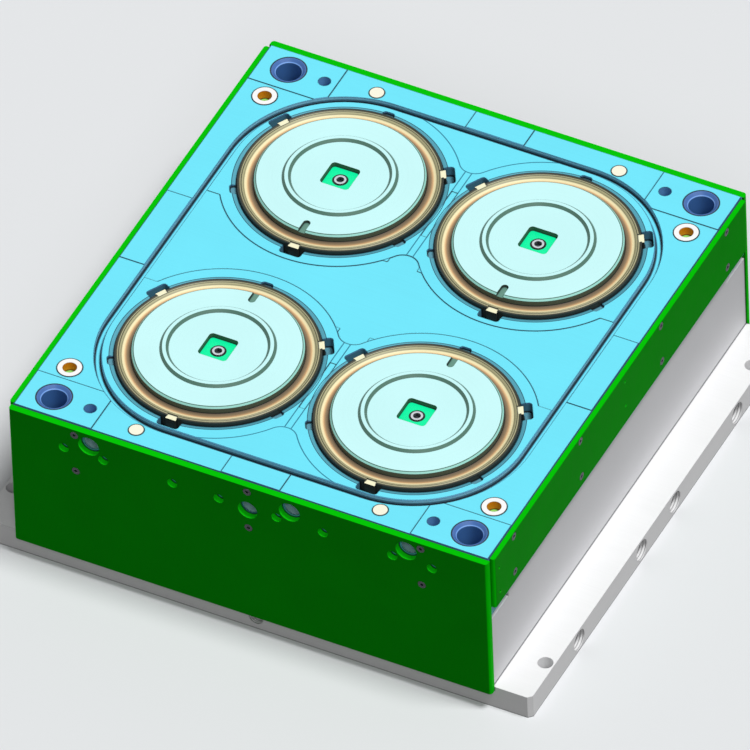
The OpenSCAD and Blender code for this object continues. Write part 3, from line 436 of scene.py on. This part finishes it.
# %% Core plate sizes
GROOVE_R, GROOVE_DEPTH, GROOVE_HALF, RELIEF = 137 * MM, 8 * MM, 4 * MM, 0.4 * MM
LAND_R, POCKETS_R = 124 * MM, 132 * MM
PIN_R, PAD_R, BUSH_R, RIM_W = 9 * MM, 14.75 * MM, 21 * MM, 2 * MM
FIELD_R, FIELD_IN, CHANNEL_X = 138 * MM, 75.2 * MM, 4 * MM
MID_FIELD_X, MID_FIELD_Y, CORNER_W, CORNER_D = 37 * MM, 60 * MM, 98.6 * MM, 60.7 * MM
HALF_LINE, LAND_LINE_HALF, STEP_INSET, FIELD_STRENGTH = 0.75 * MM, 0.5 * MM, 0.02 * MM, 0.85
NEAR_TOP, FIELD_TOP, POCKET_TOP, PORT_LENGTH = 2 * MM, 1 * MM, 1.8 * MM, 45 * MM
GROOVE_SHADE, CORNER_SHADE = (3.4 * MM, 4.6 * MM), (1.2 * MM, 2.4 * MM)
across_half = cavities["br"].x
BEND_R = (FIELD_R ** 2 - across_half ** 2 - FIELD_IN ** 2) / (2 * (FIELD_IN - FIELD_R))
BEND_X, BEND_Y = across_half * BEND_R / (FIELD_R + BEND_R), FIELD_IN + BEND_R
print("a bend of", round(BEND_R, 4), "m joins two fields")


# %% Core plate
def flush_gaps(across, along):
    """The gaps round the return pins, the landing pads and the guide bushes."""
    gaps = 0.0
    for node, radius in (("return_pin_br", PIN_R), ("landing_pad_br", PAD_R), ("guide_bush_br", BUSH_R)):
        middle = centre_of(node)
        gaps = round_line(across - middle.x, along - middle.y, radius) + gaps
    return gaps


def field_lines(across, along, middle, from_cavity, outside_groove):
    """The outlines of the raised fields: arcs round the cavities, bends, channels and corner fields.

    A bend is the arc that touches the arcs of two cavities.
    """
    row = abs(along - middle.y)
    arc = from_cavity.near(FIELD_R, HALF_LINE) * row.above(FIELD_IN) * across.above(BEND_X)
    bend = round_line(across, row - BEND_Y, BEND_R, HALF_LINE) * across.below(BEND_X) * row.below(BEND_Y)
    channel = across.near(CHANNEL_X, HALF_LINE) * row.below(FIELD_IN)
    corner_x, corner_y = plate_high.x - CORNER_W, plate_high.y - CORNER_D
    in_x = across.near(corner_x, HALF_LINE).either(across.near(MID_FIELD_X, HALF_LINE))
    in_y = along.near(corner_y, HALF_LINE).either(along.near(MID_FIELD_Y, HALF_LINE))
    in_x = in_x * along.above(middle.y) * along.above(corner_y).either(across.below(corner_x + HALF_LINE))
    in_y = in_y * across.above(middle.x) * across.above(corner_x).either(along.below(corner_y + HALF_LINE))
    return arc.either(bend).either(channel).either(in_x.either(in_y) * outside_groove)


def plate_colour():
    """The plate's colours, laid over each other from the plain top to the narrowest lines."""
    x, y, z = place().split()
    depth = plate_top - z
    up = facing()[2]
    across, along = abs(x), abs(y)
    middle = cavities["br"]
    from_cavity = distance(across - middle.x, along - middle.y)
    beyond_x, beyond_y = (across - middle.x).either(0.0), (along - middle.y).either(0.0)
    from_middle_line = distance(beyond_x, beyond_y)
    from_groove = abs(from_middle_line - GROOVE_R)
    in_groove = from_groove.below(GROOVE_HALF + 2 * HAIR)
    outside = across.above(plate_high.x - HAIR).either(along.above(plate_high.y - HAIR))
    port = in_a_port(x, z) * y.below(plate_low.y + PORT_LENGTH) * (1.0 - outside)
    # Painted shade: faces that are not level take darker copies of the top's blue, by how they face.
    colour = between(SKY, LAND_TEAL, up.below(FLAT))
    colour = between(colour, CHAMFER_BLUE, up.below(SLOPED))
    rim = across.above(plate_high.x - RIM_W).either(along.above(plate_high.y - RIM_W))
    colour = between(colour, RIM_BLUE, rim * up.below(SLOPED))
    colour = between(colour, WALL_BLUE, up.below(WALL))
    # Painted shade: the groove's walls darken towards the bottom, and its floor darkens near the walls.
    groove_wall = between(GROOVE_UPPER, GROOVE_LOWER, depth.ramp(*GROOVE_SHADE))
    colour = between(colour, groove_wall, in_groove * up.below(WALL))
    groove_floor = in_groove * depth.near(GROOVE_DEPTH, HAIR)
    colour = between(colour, GROOVE_CORNER, groove_floor * from_groove.ramp(*CORNER_SHADE))
    # Painted shade: the pockets round the lugs are darker still.
    in_pocket = depth.above(POCKET_TOP) * from_cavity.below(POCKETS_R)
    colour = between(colour, between(POCKET_WALL, POCKET_TEAL, up.above(LEVEL)), in_pocket)
    # A dark painted shade line on the walls of the low steps.
    step = depth.above(STEP_INSET) * depth.below(RELIEF - STEP_INSET) * up.below(WALL)
    colour = between(colour, LAND_LINE, step)
    colour = between(colour, PLATE_SIDE, outside)
    # Painted light inside the ports.
    colour = between(colour, PORT_PALE, port)
    # Dark painted shade lines at the start of the land, along the fields' outlines and in the flush gaps.
    land_line = from_cavity.near(LAND_R, LAND_LINE_HALF) * depth.below(NEAR_TOP)
    fields = field_lines(across, along, middle, from_cavity, from_middle_line.above(GROOVE_R + GROOVE_HALF))
    colour = between(colour, FIELD_LINE, fields * up.above(FLAT) * depth.below(FIELD_TOP) * FIELD_STRENGTH)
    colour = between(colour, LAND_LINE, land_line)
    return between(colour, GAP_SHADE, flush_gaps(across, along) * depth.below(NEAR_TOP))


# Along the plate's edges and steps the edge colour is a dark painted shade line, and its corners take strong
# painted shade.
core_blue = machined("core_plate_blue", plate_colour, rough=0.5, line_reach=2 * MM, line=0.85,
                     line_range=(0.93, 0.99), edge=LAND_LINE, edge_reach=1.2 * MM, edge_full=0.02, edge_wear_and_shade=0.9,
                     ridges=port_threads)
# The support plate takes the painted shaded blue of the core plate's sides.
support_blue = machined("support_plate_blue", PLATE_SIDE, rough=0.5)
print("made", core_blue.name, "and", support_blue.name)

# %% [markdown]
# ## Discs and key blocks
#
# The discs are turned, so their fine lines run round the middle of each cavity, and each disc needs its own
# copy of the finish. The flat faces are very pale. The chamfer, the sides of the raised bead, the floor of
# the slot and the wall next to the ring are painted as shaded copies of that pale colour: a light green, a
# greyer green, a green and a dark grey. The edge of the flat face and the outer edge carry dark painted shade
# lines.

# %% Discs and key blocks
DISC_PALE = srgb(206, 255, 255)
# Painted shade: the colours after the pale one are shaded copies of it for slopes, the slot floor, walls and
# edges.
DISC_CHAMFER = srgb(156, 218, 206)
BEAD_SIDE = srgb(80, 116, 102)
SLOT_GREEN = srgb(104, 150, 134)
DISC_EDGE = srgb(56, 94, 82)
DISC_WALL = srgb(66, 78, 66)
KEY_GREEN = srgb(0, 252, 170)
DISC_FLAT_R, BEAD_H, SLOT_DEPTH = 96.1 * MM, 3 * MM, 3.5 * MM
CHAMFER_START, DISC_EDGE_HALF, NEARLY_LEVEL = DISC_FLAT_R - 1 * MM, 0.5 * MM, (0.93, 0.97)
disc_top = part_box("core_disc_fl")[1].z - BEAD_H


def from_middle(centre):
    """Distance of a point from a cavity's axis."""
    x, y, z = (place() - (centre.x, centre.y, 0.0)).split()
    return distance(x, y)


def disc_finish(quarter):
    """The pale finish of one disc, turned round the middle of its cavity."""
    def colour():
        radius = from_middle(cavities[quarter])
        up = facing()[2]
        # Painted shade by how a face leans: slopes, the slot floor and walls take darker copies of the pale
        # colour.
        slope = between(BEAD_SIDE, DISC_CHAMFER, radius.above(CHAMFER_START))
        tone = between(slope, DISC_PALE, up.ramp(*NEARLY_LEVEL))
        # A greyer painted shade line round the edge of the flat face.
        tone = between(tone, BEAD_SIDE, radius.near(DISC_FLAT_R, DISC_EDGE_HALF))
        slot_floor = place().split()[2].near(disc_top - SLOT_DEPTH, HAIR) * up.above(FLAT)
        tone = between(tone, SLOT_GREEN, slot_floor)
        return between(tone, DISC_WALL, up.below(WALL))

    # The dark edge colour is a painted shade line.
    return machined(f"disc_pale_{quarter}", colour, "turned", cavities[quarter], rough=0.42,
                    shade_reach=WIDE_SHADE, edge_wear_and_shade=0.75, edge=DISC_EDGE, edge_reach=0.8 * MM)


disc_finishes = {q: disc_finish(q) for q in QUARTERS}
KEY_BORE_R, KEY_BORE_HALF, KEY_BORE_SHADE = 8.7 * MM, 0.8 * MM, srgb(20, 60, 44)


def quarter_distance(node):
    """Distance from the axis of a piece that stands in all four quarters."""
    x, y, z = place().split()
    middle = centre_of(node)
    return distance(abs(x) - abs(middle.x), abs(y) - abs(middle.y))


def key_colour():
    """Green, with a dark circle where the bore for the screw starts."""
    bore_edge = quarter_distance("key_block_br").near(KEY_BORE_R, KEY_BORE_HALF)
    return between(KEY_GREEN, KEY_BORE_SHADE, bore_edge)


key_green = machined("key_green", key_colour, rough=0.42)
print("disc finishes for", list(disc_finishes))

# %% [markdown]
# ## Stripper rings
#
# A ring has a smooth round valley, and outside it two fine grooves in its lips. The valley is bright cream.
# Painted shade makes its inner side, next to the disc, brown, its outer edge nearly black, and the fine
# grooves dark lines. All of that changes only with the distance from the ring's middle, so it is one colour
# ramp over the radius, whose stops are a radius in millimetres and a colour. The lugs lie lower than the lips
# and are bright on top, and the ring's walls are painted dark as shade.

# %% Ring colours over the radius
RING_STOPS = (
    # The inner side of the valley, brown with painted shade
    (99.3, (58, 48, 36)), (100.4, (104, 88, 66)), (103.2, (146, 124, 94)), (104.8, (198, 158, 114)),
    # The bright part of the valley
    (106.2, (244, 208, 156)), (107.2, (254, 238, 188)), (108.8, (254, 242, 194)), (109.5, (214, 206, 162)),
    # The first fine groove, dark with painted shade, and the lip beyond it
    (110.1, (126, 122, 90)), (110.8, (180, 176, 136)), (112.4, (188, 184, 144)),
    # The second fine groove, dark with painted shade, and its lip
    (113.1, (104, 102, 74)), (113.8, (190, 186, 146)), (114.9, (202, 197, 156)),
    # The outer edge, nearly black with painted shade
    (115.6, (98, 98, 74)), (116.2, (46, 50, 42)), (117.8, (38, 44, 38)),
)
RING_BORE_R, RING_R, LUG_H = 99.3, 117.8, 2 * MM
# Painted shade for the ring's walls and for the dark line along its edges.
RING_WALL = srgb(46, 50, 44)
LUG_CREAM = srgb(255, 252, 214)


def ring_finish(quarter):
    """The cream finish of one ring, turned round the middle of its cavity."""
    def colour():
        radius = from_middle(cavities[quarter])
        stops = [((r - RING_BORE_R) / (RING_R - RING_BORE_R), srgb(*shade)) for r, shade in RING_STOPS]
        tone = Wire.node("ValToRGB", {"stops": stops}, {0: radius.ramp(RING_BORE_R * MM, RING_R * MM)})
        # Painted shade on the ring's walls.
        tone = between(tone, RING_WALL, facing()[2].below(WALL))
        height = place().split()[2] - plate_top
        lug_top = height.near(LUG_H, HAIR) * facing()[2].above(FLAT)
        return between(tone, LUG_CREAM, lug_top)

    # The dark edge colour is a painted shade line.
    return machined(f"ring_cream_{quarter}", colour, "turned", cavities[quarter], rough=0.42,
                    shade_reach=WIDE_SHADE, painted_shade=0.8, edge_wear_and_shade=0.5, edge=RING_WALL)


ring_finishes = {q: ring_finish(q) for q in QUARTERS}
print("ring finishes for", list(ring_finishes))

# %% [markdown]
# ## Bushes, pads, pins and screws
#
# A guide bush is hardened and dark blue. Its rim is painted nearly black as shade, and a thin light ring
# where its lead-in meets the bore is a painted highlight. A landing pad is white on top, and the wall of its
# bore is painted orange as the shaded side of that white, so its colour changes just below the top, and the
# screw at the bottom is green. Pins are cream, and the gap round each one is painted dark as shade on its end
# face only. A key screw is bright, with its socket and the gap round its head painted dark as shade, and the
# other screws are dark steel. The pieces inside the box are plain ground steel.

# %% Small steel pieces
# Painted shade and highlight: the bush's nearly black rim and light lead-in, the pad's orange wall, the dark
# gap round pads, pins and screw heads, and the key screw's darker socket.
BUSH_RIM, BUSH_BAND = srgb(14, 30, 48), srgb(70, 112, 178)
BUSH_LIGHT, BUSH_BORE = srgb(120, 168, 236), srgb(70, 118, 180)
PAD_WHITE, PAD_ORANGE = srgb(255, 255, 255), srgb(232, 146, 14)
PIN_CREAM, GAP = srgb(255, 253, 230), srgb(36, 40, 40)
SCREW_BRIGHT, SCREW_SOCKET = srgb(216, 222, 228), srgb(92, 98, 102)
BAND_START, RIM_START, PAD_FACE_H = 16 * MM, 20 * MM, 0.4 * MM
SOCKET_R, HEAD_EDGE_START = 4.6 * MM, 7 * MM


def bush_colour():
    """From the bore out: bore, lead-in with a painted highlight, blue band and a rim painted nearly black as
    shade.
    """
    radius = quarter_distance("guide_bush_br")
    top = between(BUSH_LIGHT, BUSH_BAND, radius.above(BAND_START))
    top = between(top, BUSH_RIM, radius.above(RIM_START))
    return between(BUSH_BORE, top, facing()[2].above(WALL))


def pad_colour():
    """White on top with a dark outline of painted shade, and orange below the top as its painted shaded side.
    """
    z = place().split()[2]
    tone = between(PAD_WHITE, GAP, quarter_distance("landing_pad_br").above(PAD_R - GAP_W))
    return between(tone, PAD_ORANGE, (plate_top - z).above(PAD_FACE_H))


def pin_colour():
    """Cream, with a dark outline of painted shade on the end face."""
    gap = quarter_distance("return_pin_br").above(PIN_R - GAP_W) * facing()[2].above(LEVEL)
    return between(PIN_CREAM, GAP, gap)


def key_screw_colour():
    """A socket darkened with painted shade, a bright head and a dark outline of painted shade."""
    radius = quarter_distance("key_block_br")
    tone = between(SCREW_SOCKET, SCREW_BRIGHT, radius.above(SOCKET_R))
    return between(tone, GAP, radius.above(HEAD_EDGE_START))


bush_blue = machined("bush_blue", bush_colour, "even", rough=0.34, shade_reach=WIDE_SHADE)
sleeve_blue = machined("sleeve_blue", BUSH_BORE, "even", rough=0.34, shade_reach=WIDE_SHADE)
pad_white = machined("pad_white", pad_colour, "even", rough=0.42)
return_pin_cream = machined("return_pin_cream", pin_colour, "even", rough=0.38, edge_wear_and_shade=0.1)
push_pin_cream = machined("push_pin_cream", PIN_CREAM, "even", rough=0.38, edge_wear_and_shade=0.1)
plug_green = machined("plug_green", srgb(150, 226, 110), "even", rough=0.42)
bright_screw = machined("bright_screw", key_screw_colour, "even", rough=0.34, metallic=0.4, line=0.9)
dark_screw = machined("dark_screw", srgb(66, 70, 74), "even", rough=0.4, metallic=0.6)
inner_steel = machined("inner_steel", srgb(176, 182, 190), rough=0.36, metallic=0.7)
bronze = machined("bronze", srgb(196, 146, 74), "even", rough=0.36, metallic=0.9)
print("small steel finishes are ready")

# %% [markdown]
# ## Base and spacers
#
# The clamp base and the spacers are white on the sides that the press operator sees. They are ground, and
# the base carries the tapped lifting holes.

# %% Base and spacers
# The base's grey edge colour is a painted shade line along its edges.
EDGE_GREY = srgb(104, 108, 112)
base_white = machined("base_white", srgb(240, 240, 241), rough=0.5, shade_reach=WIDE_SHADE, edge_wear_and_shade=0.5,
                      edge=EDGE_GREY, edge_reach=0.8 * MM, ridges=base_threads)
spacer_white = machined("spacer_white", srgb(216, 216, 219), rough=0.5, shade_reach=WIDE_SHADE)
print("made", base_white.name, "and", spacer_white.name)

# %% [markdown]
# ## Insulation boards
#
# The green boards keep the heat in. They are glass-fibre laminate: layers of woven cloth pressed in resin,
# then sawn and routed. The faces show a faint weave. The cut edges show the layers instead, as fine lines
# along the board, and they are painted lighter than the faces, as painted light. Layers lie across the
# thickness, so the material is made once for each direction of the thickness. The holes of the end boards are
# painted lighter still, as painted light on their walls. They are told from the boards' outer edges by how
# far they lie inside them. Inside corners and gaps get painted shade, as on the steel.

# %% Laminate
FACE_GREEN, FACE_THREAD = srgb(0, 160, 1), srgb(0, 146, 2)
# Painted light: the cut edges and the holes take lighter greens than the faces. The darkest green is painted
# shade for corners and gaps.
EDGE_GREEN, EDGE_LAYER = srgb(2, 210, 2), srgb(0, 190, 3)
HOLE_GREEN, BOARD_SHADE = srgb(24, 255, 24), srgb(0, 36, 5)
WEAVE_PITCH, LAYER_PITCH, WEAVE_H, BOARD_BEVEL = 1.6 * MM, 0.8 * MM, 0.02 * MM, 0.5 * MM
BOARD_CLOUDS, FIBRES, ALONG_FIBRE, FIBRE_ROUGH = 14.0, 420.0, (1.0, 1.0, 0.15), 0.2
BOARD_CLOUD_TONE, FIBRE_TONE, SHADE_LEAST, LINE_LEAST = 0.93, 0.95, 0.3, 0.4
BOARD_FACE, HOLES_INSIDE = 0.9, 3 * MM
board_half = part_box("board_front")[1].x


def laminate(name, end_board):
    """The material of an end board, whose thickness lies along Y, or of a side board."""
    material = start(name)
    x, y, z = place().split()
    through, along = (y, x) if end_board else (x, y)
    face = abs(facing()[1 if end_board else 0]).above(BOARD_FACE)
    weave = ridge(along, WEAVE_PITCH) * ridge(z, WEAVE_PITCH)
    layers = ridge(through, LAYER_PITCH)
    cloud = grain(BOARD_CLOUDS)
    fibre = grain(FIBRES, ALONG_FIBRE)
    # Painted light: the cut edges are lighter than the faces.
    tone = between(between(EDGE_LAYER, EDGE_GREEN, layers), between(FACE_THREAD, FACE_GREEN, weave), face)
    if end_board:
        # Painted light on the walls of the holes.
        in_hole = (plate_top - z).above(HOLES_INSIDE) * abs(x).below(board_half - HOLES_INSIDE) * (1.0 - face)
        tone = between(tone, HOLE_GREEN, in_hole)
    shades = cloud.ramp(*CLOUD_RANGE, BOARD_CLOUD_TONE) * fibre.ramp(*CLOUD_RANGE, FIBRE_TONE)
    tone = between(BLACK, tone, shades)
    # Painted shade in inside corners and gaps.
    tone = between(BOARD_SHADE, tone, in_the_open(SHADE_REACH).ramp(*SHADE_RANGE, SHADE_LEAST))
    tone = between(BOARD_SHADE, tone, in_the_open(LINE_REACH).ramp(*LINE_RANGE, LINE_LEAST))
    normal = rounded(BOARD_BEVEL)
    relief = weave * face + layers * (1.0 - face)
    normal = Wire.node("Bump", None, {"Distance": WEAVE_H, "Height": relief, "Normal": normal})
    end(tone, roughness=0.7 + (fibre - 0.5) * FIBRE_ROUGH, metallic=0.0, normal=normal, mirror=0.04)
    return material


end_laminate = laminate("laminate_end_boards", end_board=True)
side_laminate = laminate("laminate_side_boards", end_board=False)
print("made", end_laminate.name, "and", side_laminate.name)

# %% [markdown]
# ## Giving each piece its finish
#
# The frame's pieces keep their shape, and only their material slot is filled. A table of name beginnings is
# enough, because the pieces that repeat differ only in the quarter at the end of their name.

# %% Finishes by name
FINISHES = (
    ("core_plate", core_blue), ("support_plate", support_blue),
    ("base_plate", base_white), ("spacer", spacer_white),
    ("key_block", key_green), ("key_screws", bright_screw),
    ("guide_bush", bush_blue), ("centring_sleeve", sleeve_blue),
    ("landing_pad", pad_white), ("landing_screws", plug_green),
    ("return_pin", return_pin_cream), ("push_pins", push_pin_cream),
    ("board_screws", dark_screw), ("board_front", end_laminate),
    ("board_back", end_laminate), ("board_", side_laminate),
    ("frame_screws", dark_screw), ("pillar_screws", dark_screw), ("plate_screws", dark_screw),
    ("ejector_screws", dark_screw), ("ejector_guide_bushes", bronze), ("ejector_", inner_steel),
    ("support_pillar", inner_steel), ("rest_buttons", inner_steel), ("stop_collars", inner_steel),
)


def finish_for(name):
    """A turned piece has the finish of its own quarter, and any other the first whose beginning fits."""
    if name.startswith("core_disc"):
        return disc_finishes[name[-2:]]
    if name.startswith("stripper_ring"):
        return ring_finishes[name[-2:]]
    return next(material for beginning, material in FINISHES if name.startswith(beginning))


for name, piece in nodes.items():
    piece.data.materials.clear()
    piece.data.materials.append(finish_for(name))
print(len(nodes), "pieces have a finish")

# %% [markdown]
# ## Camera
#
# The picture is a parallel view. A very long lens from far away gives the same picture, and the camera can
# still be turned like any other. Its direction is an azimuth and an elevation, and the picture leans by a
# small roll. The width is in metres, measured at the point that the camera aims at.

# %% Camera
AZIMUTH, ELEVATION, ROLL = (math.radians(v) for v in (28.16, 44.04, 2.32))
PICTURE_WIDTH = 0.8512
LENS, SENSOR = 1500.0, 36.0
AIM = Vector((1.91 * MM, -19.46 * MM, 131.06 * MM))
level_part = math.cos(ELEVATION)
towards = Vector((math.sin(AZIMUTH) * level_part, -math.cos(AZIMUTH) * level_part, math.sin(ELEVATION)))
lean = Matrix.Rotation(-ROLL, 3, "Z").to_quaternion()
camera = bpy.data.objects.new("camera", bpy.data.cameras.new("camera"))
camera.data.lens = LENS
camera.data.sensor_width = SENSOR
camera.data.clip_start, camera.data.clip_end = 1.0, 200.0
camera.location = AIM + towards * (PICTURE_WIDTH * LENS / SENSOR)
camera.rotation_mode = "QUATERNION"
camera.rotation_quaternion = (-towards).to_track_quat("-Z", "Y") @ lean
bpy.context.scene.collection.objects.link(camera)
bpy.context.scene.camera = camera
print("camera at", [round(v, 2) for v in camera.location])

# %% [markdown]
# ## Floor
#
# A plain pale floor takes the tool's shadow. It looks pale to the camera and in reflections, but gives back
# only a little light, as a studio floor with dark cards round the object would. Without that, the front of
# the tool would be nearly as bright as its top.

# %% Floor
FLOOR_PALE = srgb(228, 230, 232)
FLOOR_CARD = (0.09, 0.09, 0.09)
FLOOR_SIZE = 120.0


def seen_directly():
    """1 for a ray from the camera, from a shiny face or through a clear one."""
    rays = Wire.tree.nodes.new("ShaderNodeLightPath").outputs
    bounced = Wire(rays["Is Glossy Ray"]).either(Wire(rays["Is Transmission Ray"]))
    return Wire(rays["Is Camera Ray"]).either(bounced)


floor_material = start("studio_floor")
floor_colour = between(FLOOR_CARD, FLOOR_PALE, seen_directly())
end(floor_colour, roughness=0.9, metallic=0.0, normal=Wire.node("NewGeometry", out="Normal"), mirror=0.1)
bpy.ops.mesh.primitive_plane_add(size=FLOOR_SIZE, location=(0, 0, cad_low.z))
floor = bpy.context.object
floor.name = "studio_floor"
floor.data.materials.append(floor_material)
print("floor at", round(floor.location.z, 4), "m")

# %% [markdown]
# ## Light
#
# One large soft lamp stands high and to the right, a weak one stands behind the camera so that the visible
# sides of holes and pockets aren't black, and the room adds an even light. The top of the tool gets a full
# measure, so its colours come out as written. The right side gets half of that and the front about a fifth,
# which is how the picture is shaded. Each lamp is a name, a power, the way to the lamp and how many degrees
# wide it looks, which makes its shadows soft.

# %% Light
ROOM_LIGHT, ROOM_SEEN = 0.13, 0.85
LAMPS = (("high_lamp", 2.52, (0.37, 0.0, 0.93), 18), ("camera_lamp", 0.58, (0.34, -0.64, 0.69), 24))
world = bpy.data.worlds.new("studio")
bpy.context.scene.world = world
world.use_nodes = True
world.node_tree.nodes.clear()
Wire.tree = world.node_tree
strength = seen_directly().ramp(0.0, 1.0, ROOM_LIGHT, ROOM_SEEN)
glow = Wire.node("Background", None, {"Color": (1.0, 1.0, 1.0), "Strength": strength})
Wire.node("OutputWorld", None, {"Surface": glow})


def soft_lamp(name, power, to_lamp, spread):
    lamp = bpy.data.objects.new(name, bpy.data.lights.new(name, "SUN"))
    lamp.data.energy = power
    lamp.data.angle = math.radians(spread)
    lamp.rotation_mode = "QUATERNION"
    lamp.rotation_quaternion = (-Vector(to_lamp)).to_track_quat("-Z", "Y")
    bpy.context.scene.collection.objects.link(lamp)
    return lamp


lamps = [soft_lamp(*lamp) for lamp in LAMPS]
print("lamps of", [round(lamp.data.energy, 2) for lamp in lamps], "and a room light of", ROOM_LIGHT)
